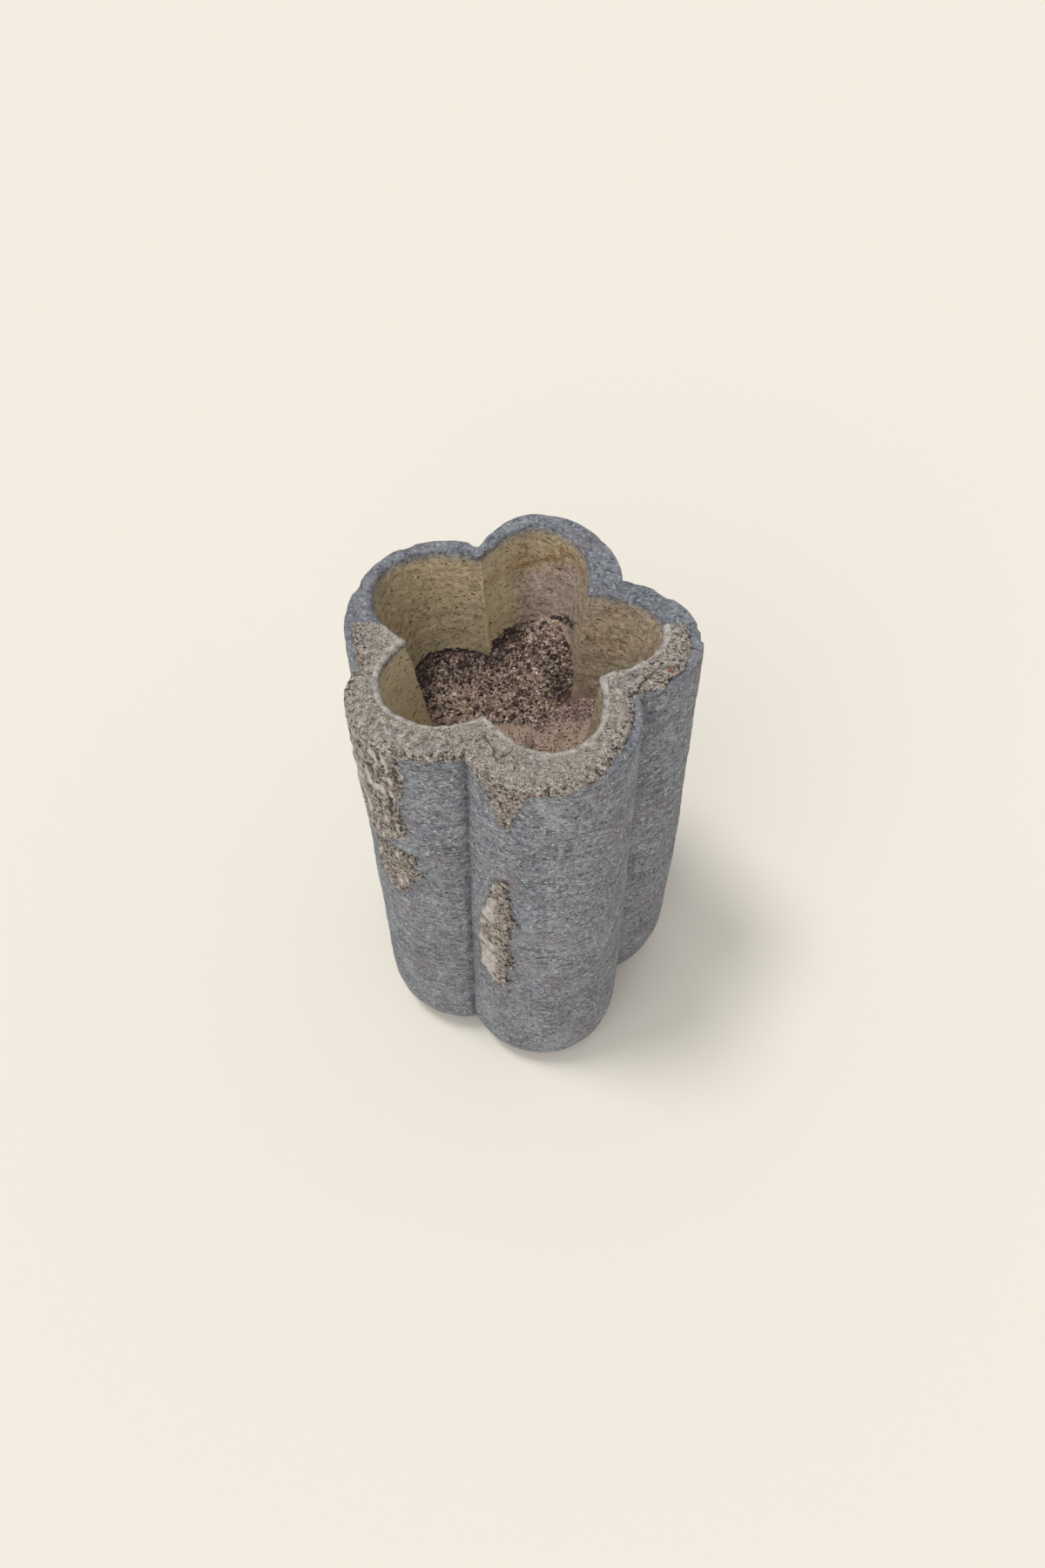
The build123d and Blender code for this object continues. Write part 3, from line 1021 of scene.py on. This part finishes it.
def crust_height(
    places: Array,
    depth: Array,
    thickness: float,
    ragged: Any,
    coarse: Any,
    streak: float = 1.0,
) -> tuple[Array, Array]:
    """Height of the crust's face over the stone, below 0 beyond its border.

    Args:
        places: Points of the stone's face in mm.
        depth: Distance inside the crust's border in mm.
        thickness: Usual thickness in mm.
        ragged: How far the border wanders in mm.
        coarse: How open and lumpy the face is, 0 to 1.
        streak: Squeeze of the lumps upright, under 1 for long ones.

    Returns:
        Height in mm at each point, and the depth of its hollows, 0 to 1.
    """
    drawn = places * np.array([1.0, 1.0, streak])
    wander = 0.6 * lumps(drawn, 15.0, 20) + 0.8 * lumps(drawn, 6.0, 21) + 0.6 * lumps(drawn, 3.2, 22)
    edge = depth + ragged * wander
    body = thickness * (0.8 + 0.35 * lumps(drawn, 24.0, 23)) + (0.9 + 0.3 * coarse) * lumps(drawn, 10.0, 26)
    rise = smooth_step(edge, -0.6, 2.2)
    grit = (0.3 + 0.35 * coarse) * lumps(drawn, 3.3, 24) + (0.9 + 0.1 * coarse) * lumps(drawn, 6.0, 25)
    open_share = 0.06 + 0.14 * coarse
    pitting = pits(drawn, 4.6, 2) + 0.12 * lumps(drawn, 12.0, 27)
    holes = fade(pitting, open_share, open_share + 0.16)
    sunk = (0.25 + 0.75 * coarse) * holes
    height = -2.6 + (body + 2.6) * rise + (grit - 1.3 * sunk) * smooth_step(edge, 0.0, 3.0)
    return height, np.clip(sunk + 0.5 * np.clip(-grit, 0.0, 1.0), 0.0, 1.0)


@dataclass
class RimCrust:
    """One stretch of lime crust on the rim, over the lip and the worn outer edge."""

    name: str
    start: float
    end: float
    edge: tuple[tuple[float, float], ...]
    soft_start: bool = False
    soft_end: bool = False
    step: float = 1.3
    thickness: float = 3.2
    usual_radius: float = 190.0

    def build(self, material: Material) -> Thing:
        """Lay the crust on the stone's rim and give it its thickness."""
        overlap = 0.4
        margin = 1.5
        low = self.start - (margin if self.soft_start else overlap)
        high = self.end + (margin if self.soft_end else overlap)
        columns = int(math.radians(high - low) * self.usual_radius / self.step)
        sections = ((0.0, 1.0, 4), (1.0, 2.0, 4), (2.0, 3.0, 30), (3.0, 4.0, 5), (4.0, 5.0, 20))
        girth = [np.linspace(first, last, count, endpoint=False) for first, last, count in sections]
        girth = np.concatenate(girth + [np.array([5.0])])
        thing, column, row = grid_piece(self.name + "_crust_weathered", columns, len(girth) - 1)
        across = column.max() + 1
        bearing = np.linspace(low, high, across)[None, :] * np.ones((len(girth), 1))
        base = self.rim_places(bearing, girth[:, None] * np.ones((1, across)))
        normal = -grid_normals(base[::-1], False)[::-1]
        normal = np.where(normal[len(girth) // 2, across // 2, 2] > 0.0, normal, -normal)
        over = np.linalg.norm(np.diff(base, axis=0), axis=-1)
        travelled = np.concatenate([np.zeros((1, across)), np.cumsum(over, axis=0)])
        corner_row = sum(count for _, _, count in sections[:3])
        stop = travelled[corner_row] + along_line(bearing[0], self.edge)
        depth = np.minimum(stop - travelled, travelled - 1.6)
        around = np.hypot(base[..., 0], base[..., 1]) * math.pi / 180.0
        if self.soft_start:
            depth = np.minimum(depth, (bearing - self.start) * around)
        if self.soft_end:
            depth = np.minimum(depth, (self.end - bearing) * around)
        coarse = 0.1 + 0.9 * fade(stop - travelled, 7.0, 22.0)
        coarse = np.maximum(coarse, smooth_step(bearing, -34.0, -26.0) * (bearing < 60.0) * 0.6)
        rise, sunk = crust_height(base, depth, self.thickness, 2.6, coarse)
        crack = np.zeros(rise.shape)
        east = base[..., 0] + 3.0 * lumps(base, 9.0, 30)
        north = base[..., 1] + 3.0 * lumps(base, 9.0, 31)
        for line in RIM_CRACKS:
            gap = line_gap(east, north, line.points)
            width = line.width * (0.55 + 0.6 * lumps(base, 7.0, 32))
            crack = np.maximum(crack, fade(gap, width * 0.5, width * 1.6 + 0.2))
        stone = smooth_step(girth, 2.6, 3.3)[:, None] * outside_relief(base)
        raised = base + normal * (stone + rise - 1.8 * crack * (rise > 0.5))[..., None]
        raised[..., 2] = np.minimum(raised[..., 2], CRUST_TOP)
        write_points(thing, raised[row, column])
        # Painted highlight: a thin bright line along the inner lip's edge.
        lip = smooth_step(girth, 1.1, 1.6) * fade(girth, 2.0, 2.07)
        write_masks(thing, {
            "fringe": fade(stop - travelled, 1.0, 9.0),
            "coarse": coarse,
            # Depth of the hollows, darkened in the material as painted shade.
            "sunk": sunk,
            "rust": self.rust(base),
            "crack": crack * 0.7,
            "painted_highlight": lip[:, None] * (0.35 + 0.7 * lumps(base, 8.0, 36)),
        }, row, column)
        trim_and_thicken(thing, rise[row, column])
        return dress(thing, material, "lime_crust", self.name + "_crust")

    def rust(self, places: Array) -> Array:
        """Small rusty stain on the right lobe's crust."""
        gap = np.hypot(places[..., 0] - RUST_SPOT[0], places[..., 1] - RUST_SPOT[1])
        return 0.7 * fade(gap + 4.0 * lumps(places, 5.0, 33), 1.0, 8.0)

    def rim_places(self, bearing: Array, girth: Array) -> Array:
        """Points over the rim: 0 in the mouth, 1 and 2 round the lip, 3 at the corner, 5 on the flank."""
        lip_turn = np.clip(girth - 1.0, 0.0, 1.0) * math.pi / 2.0
        corner_turn = np.clip(girth - 3.0, 0.0, 1.0) * math.pi / 2.0
        height = np.full(girth.shape, STONE_HEIGHT)
        height -= LIP_WEAR * (1.0 - np.sin(lip_turn)) + 5.0 * np.clip(1.0 - girth, 0.0, 1.0)
        inner = inner_radius(bearing, height)
        height -= RIM_WEAR * (1.0 - np.cos(corner_turn)) + 24.0 * np.clip(girth - 4.0, 0.0, 1.0)
        outer = outer_radius(bearing, height)
        radius = inner + (outer - inner) * np.clip(girth - 2.0, 0.0, 1.0)
        return at_bearing(radius, bearing, height)


def trim_and_thicken(thing: Thing, rise: Array) -> None:
    """Delete the part of a crust that lies deep in the stone, and close the rest to a solid."""
    only(thing)
    bpy.context.tool_settings.mesh_select_mode = (True, False, False)
    bpy.ops.object.mode_set(mode="EDIT")
    bpy.ops.mesh.select_all(action="DESELECT")
    bpy.ops.object.mode_set(mode="OBJECT")
    thing.data.vertices.foreach_set("select", rise < -2.4)
    bpy.ops.object.mode_set(mode="EDIT")
    bpy.ops.mesh.delete(type="VERT")
    bpy.ops.mesh.select_all(action="SELECT")
    bpy.ops.mesh.delete_loose()
    bpy.ops.mesh.select_all(action="SELECT")
    bpy.ops.mesh.normals_make_consistent(inside=False)
    bpy.ops.object.mode_set(mode="OBJECT")
    apply_modifier(thing, "SOLIDIFY", {"thickness": 2.0 * MM, "offset": -1.0})
    shade(thing, 80.0)


@dataclass
class FlankCrust:
    """One patch of lime crust on the flank, inside an outline of bearings and heights."""

    name: str
    outline: tuple[tuple[float, float], ...]
    thickness: float = 3.0
    step: float = 1.2
    ragged: float = 3.2
    # Strength of the thicker left edge and its painted highlight.
    bright_side: float = 0.0
    dissolve: float = 0.0
    streak: float = 1.0
    slivers: float = 0.0
    usual_radius: float = 195.0

    def build(self, material: Material) -> Thing:
        """Lay the patch on the flank and give it its thickness."""
        margin = 9.0
        bearings = [bearing for bearing, _ in self.outline]
        heights = [height for _, height in self.outline]
        low, high = min(bearings) - margin / 3.3, max(bearings) + margin / 3.3
        bottom, top = min(heights) - margin, min(max(heights) + margin, 603.0)
        columns = int(math.radians(high - low) * self.usual_radius / self.step)
        rows = int((top - bottom) / self.step)
        thing, column, row = grid_piece(self.name + "_weathered", columns, rows)
        bearing = low + (high - low) * np.arange(column.max() + 1) / column.max()
        height = bottom + (top - bottom) * np.arange(row.max() + 1) / row.max()
        bearing, height = np.meshgrid(bearing, height)
        base = at_bearing(outer_radius(bearing, height), bearing, height)
        normal = grid_normals(base, False)
        middle = 0.5 * (low + high)
        unit = outer_radius(np.array([middle]), np.array([0.5 * (bottom + top)]))[0] * math.pi / 180.0
        points = [((place - middle) * unit, level) for place, level in self.outline]
        across = (bearing - middle) * unit
        depth = inside_depth(across, height, points)
        along_right = smooth_step(across, -6.0, 16.0)
        ragged = self.ragged + self.dissolve * along_right
        depth = depth - 0.35 * self.dissolve * along_right
        left = smooth_step(-across, -4.0, 6.0)
        # The left edge is thicker and less coarse and carries a painted highlight, as do the slivers.
        facet = self.bright_side * left * smooth_step(lumps(base, 17.0, 34), -0.2, 0.15)
        coarse = 1.0 - 0.85 * facet
        facet = facet * np.clip(0.75 + 0.9 * lumps(base, 6.0, 37), 0.0, 1.0)
        rise, sunk = crust_height(base, depth, self.thickness + 1.2 * facet, ragged, coarse, self.streak)
        slanted = base + np.array([0.3, 0.3, 0.0]) * base[..., 2:3]
        slivers = self.slivers * lumps(slanted * np.array([1.0, 1.0, 0.3]), 8.0, 35)
        facet = np.maximum(facet, smooth_step(slivers, 0.18, 0.4))
        # Painted shade in the sunk gaps between the slivers.
        gaps = smooth_step(-slivers, 0.18, 0.42)
        rise = rise - 1.6 * gaps * (rise > 0.4)
        sunk = np.maximum(sunk, gaps)
        raised = base + normal * (outside_relief(base) + rise)[..., None]
        write_points(thing, raised[row, column])
        write_masks(thing, {
            "fringe": np.full(rise.shape, 0.35),
            "coarse": coarse,
            # Depth of the hollows and gaps, darkened in the material as painted shade.
            "sunk": sunk,
            "painted_highlight": 0.75 * facet,
        }, row, column)
        trim_and_thicken(thing, rise[row, column])
        return dress(thing, material, "lime_crust", self.name)


def heap_top(places: Array) -> Array:
    """Height of the litter's face, below the silt where the silt covers it."""
    along = along_heap(places)
    reach = np.hypot(places[..., 0], places[..., 1])
    rough = 4.0 * lumps(places, 28.0, 40) + 2.4 * lumps(places, 12.0, 41) + 1.2 * lumps(places, 5.0, 42)
    foot = 9.0 * lumps(places, 30.0, 43)
    bank = np.hypot(places[..., 0] - 62.0, places[..., 1] - 128.0)
    rough += 27.0 * fade(bank, 6.0, 62.0) + 7.0 * smooth_step(places[..., 1], 90.0, 140.0)
    rough += 6.0 * smooth_step(reach, 70.0, 120.0) * lumps(places, 15.0, 51)
    slope = np.clip(along + foot, -14.0, None) * HEAP_SLOPE
    return SILT_TOP - 1.5 + slope + rough * smooth_step(along, -8.0, 14.0)


def litter_zones(places: Array) -> tuple[Array, Array]:
    """Where silt has washed over the litter, and where the litter is darker, most near the wall at the back
    left.

    Args:
        places: Points about the block's axis in mm.

    Returns:
        Silt over the litter and darkness of the litter, each 0 to 1.
    """
    east, north = places[..., 0], places[..., 1]
    ragged = 0.6 * lumps(places, 22.0, 47) + 0.3 * lumps(places, 9.0, 48)
    left_patch = np.hypot((east + 62.0) / 52.0, (north - 44.0) / 30.0)
    silty = 0.95 * fade(left_patch + ragged, 0.5, 1.1)
    for spot_east, spot_north, width in ((9.0, 88.0, 22.0), (46.0, 132.0, 20.0), (-20.0, 66.0, 16.0)):
        gap = np.hypot(east - spot_east, (north - spot_north) * 1.4) / width
        silty = np.maximum(silty, 0.7 * fade(gap + ragged, 0.5, 1.1))
    silty = np.maximum(silty, 0.95 * fade(north + 30.0 * ragged, 12.0, 40.0))
    bearing = bearing_of(places)
    share = np.hypot(east, north) / inner_radius(bearing, np.full(bearing.shape, SILT_TOP + 20.0))
    dark = smooth_step(share + 0.25 * ragged, 0.74, 0.94) * smooth_step(north, 30.0, 60.0)
    dark = dark * smooth_step(-east, -10.0, 20.0)
    dark = np.maximum(dark, fade(np.hypot(east - 47.0, north - 70.0) + 8.0 * ragged, 8.0, 24.0))
    return np.clip(silty, 0.0, 0.95), dark


def silt_top(places: Array) -> Array:
    """Height of the silt's face."""
    bearing = bearing_of(places)
    reach = np.hypot(places[..., 0], places[..., 1])
    on_right = window(bearing, -50.0, -10.0, 45.0, 75.0)
    bank = 16.0 * smooth_step(reach, 45.0, 120.0) * on_right
    waves = 1.4 * lumps(places, 45.0, 44) + 0.6 * lumps(places, 9.0, 45) + 0.4 * lumps(places, 4.0, 46)
    return SILT_TOP - 1.0 + bank + waves


@dataclass
class FillBed:
    """One layer of loose fill whose face runs to the wall of the hollow, with crumbs on it."""

    name: str
    surface: Any
    underside: float
    crumbs: int
    crumb_sizes: tuple[float, float]
    seed: int
    whole: bool
    columns: int = 250
    rings: int = 48

    def build(self, material: Material, slot: str) -> Thing:
        """Spread the fill from the axis out to the wall and close it underneath."""
        thing, column, row = grid_piece(self.name + "_spread", self.columns, self.rings)
        turn = np.arange(column.max() + 1) / column.max() * 5.0
        bearing = MOUTH.bearing(np.minimum(turn, 4.99999), np.ones(turn.size))
        share = (np.arange(row.max() + 1) / row.max())[:, None]
        level = np.full((share.size, turn.size), SILT_TOP + 12.0)
        bearings = bearing[None, :] * np.ones_like(level)
        reach = inner_radius(bearings, level)
        flat = at_bearing(reach * share * 0.995, bearings, np.zeros_like(level))
        flat[..., 2] = self.surface(flat)
        wall = inner_radius(bearings, flat[..., 2]) + 1.0
        angle = np.radians(bearing)[None, :]
        flat[..., 0] = wall * share * np.cos(angle)
        flat[..., 1] = wall * share * np.sin(angle)
        write_points(thing, flat[row, column])
        merge_and_face_out(thing)
        self.close_below(thing)
        merge_and_face_out(thing)
        silty, dark = litter_zones(read_points(thing) / MM)
        write_mask(thing, "tone", 0.5 - 0.45 * dark)
        write_mask(thing, "silty", silty * (1.0 - dark))
        crumbs = self.scatter()
        only(thing)
        crumbs.select_set(True)
        bpy.ops.object.join()
        shade(thing, 35.0)
        return dress(thing, material, slot, self.name)

    def close_below(self, thing: Thing) -> None:
        """Extrude the face down to a level underside."""
        only(thing)
        bpy.ops.object.mode_set(mode="EDIT")
        bpy.ops.mesh.select_all(action="SELECT")
        bpy.ops.mesh.extrude_region_move(TRANSFORM_OT_translate={"value": (0.0, 0.0, -0.001)})
        bpy.ops.object.mode_set(mode="OBJECT")
        chosen = np.zeros(len(thing.data.vertices), dtype=bool)
        thing.data.vertices.foreach_get("select", chosen)
        places = read_points(thing)
        places[chosen, 2] = self.underside * MM
        thing.data.vertices.foreach_set("co", places.ravel())
        thing.data.update()

    def scatter(self) -> Thing:
        """Strew angular crumbs over the face, as one mesh."""
        draw = np.random.default_rng(self.seed)
        shapes = [crumb_shape(seed) for seed in range(4)]
        points = []
        faces = []
        tones = []
        total = 0
        angle = draw.uniform(0.0, 2.0 * np.pi, self.crumbs * 3)
        share = np.sqrt(draw.uniform(0.0, 1.0, angle.size))
        bearing = np.degrees(angle)
        wall = inner_radius(bearing, np.full(angle.size, SILT_TOP + 8.0)) - 2.0
        spots = at_bearing(wall * share, bearing, np.zeros(angle.size))
        level = self.surface(spots)
        spots[:, 2] = level
        other = heap_top(spots) - 1.0 if self.whole else silt_top(spots) - 0.5
        shown = level >= other
        spots = spots[shown][:self.crumbs]
        for spot in spots:
            shape, sides = shapes[draw.integers(len(shapes))]
            share = draw.random() ** 1.8
            size = self.crumb_sizes[0] + (self.crumb_sizes[1] - self.crumb_sizes[0]) * share
            stretch = size * np.array([1.0, draw.uniform(0.45, 0.9), draw.uniform(0.25, 0.6)]) * 0.5
            spin = random_turn(draw)
            points.append((shape * stretch) @ spin.T + spot + np.array([0.0, 0.0, size * 0.12]))
            faces.extend([tuple(corner + total for corner in side) for side in sides])
            tone = draw.beta(0.6, 0.7) if draw.random() < 0.65 else draw.uniform(0.3, 0.7)
            tones.append(np.full(len(shape), tone * (1.0 - 0.35 * share)))
            total += len(shape)
        mesh = bpy.data.meshes.new(self.name + "_crumbs")
        mesh.from_pydata(np.concatenate(points).tolist(), [], faces)
        thing = bpy.data.objects.new(self.name + "_crumbs", mesh)
        bpy.context.scene.collection.objects.link(thing)
        write_points(thing, np.concatenate(points))
        silty, dark = litter_zones(np.concatenate(points))
        write_mask(thing, "tone", np.concatenate(tones) * (1.0 - 0.6 * dark))
        write_mask(thing, "silty", 0.7 * silty * (1.0 - dark))
        return thing


def random_turn(draw: np.random.Generator) -> Array:
    """A random rotation, mostly flat."""
    lean = draw.normal(0.0, 0.5, 2)
    angle = draw.uniform(0.0, 2.0 * math.pi)
    upright = Vector((0.0, 0.0, 1.0))
    leaning = Vector((lean[0], lean[1], 1.0))
    matrix = np.array(upright.rotation_difference(leaning).to_matrix())
    return matrix @ turned_level(angle)


def crumb_shape(seed: int) -> tuple[Array, list[tuple[int, ...]]]:
    """Points and faces of one angular crumb, about 2 across."""
    bpy.ops.object.select_all(action="DESELECT")
    bpy.ops.mesh.primitive_ico_sphere_add(subdivisions=1, radius=1.0)
    thing = new_piece("crumb")
    places = read_points(thing)
    draw = np.random.default_rng(100 + seed)
    places *= draw.uniform(0.62, 1.0, (len(places), 1))
    sides = [tuple(side.vertices) for side in thing.data.polygons]
    bpy.ops.object.delete()
    return places, sides


@dataclass
class StoneChips:
    """Seven broken chips of stone on the fill, each cut by flat breaks."""

    seed: int = 5

    def build(self, material: Material) -> Thing:
        """Break each chip from a ball by flat cuts and rest it on the fill."""
        draw = np.random.default_rng(self.seed)
        made = []
        for x, y, length, width, height, turn in CHIPS:
            bpy.ops.object.select_all(action="DESELECT")
            bpy.ops.mesh.primitive_ico_sphere_add(subdivisions=3, radius=1.0)
            thing = new_piece("chip")
            places = read_points(thing)
            for _ in range(9):
                facing = draw.normal(size=3)
                facing /= np.linalg.norm(facing)
                reach = places @ facing
                cut = draw.uniform(0.35, 0.62)
                places -= np.maximum(reach - cut, 0.0)[:, None] * facing
            places *= np.array([length * 0.52, width * 0.52, height * 0.75])
            places = places @ turned_level(math.radians(turn)).T
            spot = np.array([[x, y, 0.0]])
            level = max(heap_top(spot)[0], silt_top(spot)[0])
            places += np.array([x, y, level + height * 0.08])
            places += 0.4 * lumps(places, 4.0, 50)[:, None]
            write_points(thing, places)
            write_mask(thing, "tone", np.full(len(places), 0.8 if x < 0.0 else 0.35))
            made.append(thing)
        bpy.ops.object.select_all(action="DESELECT")
        for thing in made:
            thing.select_set(True)
        bpy.context.view_layer.objects.active = made[0]
        bpy.ops.object.join()
        chips = new_piece("stone_chips_broken")
        shade(chips, 25.0)
        return dress(chips, material, "pale_chips", "stone_chips")


CHIPS = (
    (-54.0, -8.0, 24.0, 15.0, 9.0, 35.0),
    (-38.0, -22.0, 18.0, 12.0, 8.0, 80.0),
    (18.0, -46.0, 16.0, 13.0, 7.0, 10.0),
    (44.0, 8.0, 20.0, 12.0, 9.0, 130.0),
    (66.0, 22.0, 14.0, 11.0, 8.0, 60.0),
    (-78.0, -14.0, 15.0, 10.0, 7.0, 155.0),
    (8.0, -2.0, 22.0, 16.0, 10.0, 100.0),
)

RIM_CRUSTS = (
    RimCrust("left_rim", 172.0, 250.0, (
        (172.0, -5.0), (178.0, -4.0), (186.0, -3.0), (193.5, 6.0), (205.0, 14.0), (222.0, 20.0),
        (228.0, 17.0), (233.0, 17.0), (240.0, 13.0), (250.0, 13.0)), soft_start=True),
    RimCrust("front_rim", -110.0, -35.5, (
        (-110.0, 17.0), (-104.0, 21.0), (-93.0, 21.0), (-87.0, 15.0), (-80.0, 12.0), (-75.0, 7.0),
        (-68.0, 2.0), (-61.0, -6.0), (-56.0, -8.0), (-49.0, -9.0), (-42.0, -8.0), (-35.5, -6.0))),
    RimCrust("right_rim", -35.5, 8.0, (
        (-35.5, -6.0), (-31.0, -4.0), (-28.0, 0.0), (-24.0, -2.0), (-21.0, -9.0), (-18.0, -4.0),
        (-14.0, -6.0), (-10.0, -8.0), (-4.0, -9.0), (1.0, -10.0), (8.0, -11.0)), soft_end=True),
)

FLANK_CRUSTS = (
    FlankCrust("drip_crust", (
        (-108.5, 606.0), (-104.0, 582.0), (-100.0, 556.0), (-97.5, 532.0), (-94.5, 524.0), (-93.0, 548.0),
        (-90.0, 574.0), (-86.0, 606.0))),
    FlankCrust("left_flank_crust_upper", (
        (-129.0, 606.0), (-128.0, 548.0), (-131.0, 510.0), (-129.0, 456.0), (-138.0, 424.0), (-146.0, 424.0),
        (-152.0, 470.0), (-156.0, 540.0), (-158.0, 606.0)), bright_side=0.5, streak=0.5, slivers=1.0,
        ragged=5.0),
    FlankCrust("left_flank_crust_lower", (
        (-144.0, 412.0), (-137.0, 420.0), (-126.0, 418.0), (-128.0, 392.0), (-125.5, 380.0), (-130.0, 354.0),
        (-134.0, 322.0), (-139.0, 334.0), (-144.0, 366.0)), ragged=5.0, dissolve=3.0, slivers=0.6),
    FlankCrust("front_groove_crust", (
        (-96.5, 438.0), (-100.5, 402.0), (-104.0, 342.0), (-105.5, 284.0), (-105.0, 227.0), (-99.0, 204.0),
        (-95.0, 188.0), (-93.5, 250.0), (-94.0, 306.0), (-91.5, 336.0), (-92.5, 372.0), (-94.0, 420.0)),
        thickness=3.4, ragged=3.6, bright_side=1.0, dissolve=8.0),
)


@dataclass
class Studio:
    """Pale floor, soft lamps and the camera at the photograph's place."""

    backdrop: str = "#efe9dd"
    camera_place: tuple[float, float, float] = (-1.1, -923.5, 1536.0)
    pitch: float = 52.0
    focal_pixels: float = 1386.0
    frame_height: float = 1800.0
    sensor: float = 36.0
    air: float = 0.47
    key: float = 1.25
    key_softness: float = 15.0
    key_from: tuple[float, float, float] = (-0.32, 0.02, 1.0)
    front: float = 1.0
    front_softness: float = 60.0
    front_from: tuple[float, float, float] = (-0.3, -0.75, 0.66)

    def build(self) -> None:
        """Set up the floor, the lamps, the world and the camera."""
        bpy.ops.object.select_all(action="DESELECT")
        bpy.ops.mesh.primitive_plane_add(size=14.0)
        floor = new_piece("studio_floor")
        made = Finish("studio_paper", 1.0, 1.45)
        made.shader.inputs["Base Color"].default_value = srgb(self.backdrop)
        made.shader.inputs["Specular IOR Level"].default_value = 0.0
        floor.data.materials.append(made.material)

        world = bpy.data.worlds.new("studio_air")
        bpy.context.scene.world = world
        world.use_nodes = True
        tree = world.node_tree
        air = tree.nodes["Background"]
        air.inputs["Strength"].default_value = self.air
        air.inputs["Color"].default_value = srgb("#ffffff")
        seen = add_node(tree, "ShaderNodeBackground", None, {"Color": srgb(self.backdrop), "Strength": 0.96})
        path = add_node(tree, "ShaderNodeLightPath")
        direct = sums(tree, "ADD", path.outputs["Is Camera Ray"], path.outputs["Is Glossy Ray"])
        direct = sums(tree, "ADD", direct, path.outputs["Is Transmission Ray"])
        joined = add_node(tree, "ShaderNodeMixShader", None,
                          {0: direct, 1: air.outputs[0], 2: seen.outputs[0]})
        tree.links.new(joined.outputs[0], tree.nodes["World Output"].inputs["Surface"])
        self.lamp("key_lamp", self.key, self.key_softness, self.key_from)
        self.lamp("front_lamp", self.front, self.front_softness, self.front_from)

        data = bpy.data.cameras.new("photo_camera")
        data.lens = self.focal_pixels / self.frame_height * self.sensor
        data.sensor_width = self.sensor
        data.clip_start = 0.05
        data.clip_end = 50.0
        camera = bpy.data.objects.new("photo_camera", data)
        bpy.context.scene.collection.objects.link(camera)
        camera.location = Vector(self.camera_place) * MM
        camera.rotation_euler = (math.radians(90.0 - self.pitch), 0.0, 0.0)
        bpy.context.scene.camera = camera
        bpy.context.scene.view_settings.view_transform = "Standard"

    def lamp(self, name: str, strength: float, softness: float, place: tuple[float, float, float]) -> None:
        """Add one distant soft lamp that shines from a direction."""
        data = bpy.data.lights.new(name, "SUN")
        data.energy = strength
        data.angle = math.radians(softness)
        thing = bpy.data.objects.new(name, data)
        bpy.context.scene.collection.objects.link(thing)
        thing.rotation_euler = (-Vector(place)).to_track_quat("-Z", "Y").to_euler()


def recolour_node(node: str, material: Material) -> None:
    """Give a carried-over CAD node its material."""
    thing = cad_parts[node]
    if not thing.material_slots:
        thing.data.materials.append(material)
    for slot in thing.material_slots:
        slot.material = material


def main() -> None:
    """Build every piece, the studio and the camera."""
    logging.basicConfig(level=logging.INFO, format="%(name)s %(message)s")
    StoneVessel().build(BlueLimestone().build())
    crust = LimeCrust().build()
    for part in RIM_CRUSTS + FLANK_CRUSTS:
        part.build(crust)
    materials = {fill: fill.value.build() for fill in Fill}
    silt = FillBed("silt_bed", silt_top, SOIL_TOP + 0.5, 5200, (1.4, 4.6), 3, True)
    silt.build(materials[Fill.SILT], "silt")
    litter = FillBed("litter_heap", heap_top, SILT_TOP - 8.0, 7200, (2.4, 11.0), 4, False)
    litter.build(materials[Fill.LITTER], "litter")
    StoneChips().build(materials[Fill.CHIPS])
    recolour_node("soil_fill", materials[Fill.SOIL])
    recolour_node("drainage_gravel", materials[Fill.GRAVEL])
    recolour_node("drain_crock", materials[Fill.CLAY])
    Studio().build()


if __name__ == "__main__":
    main()
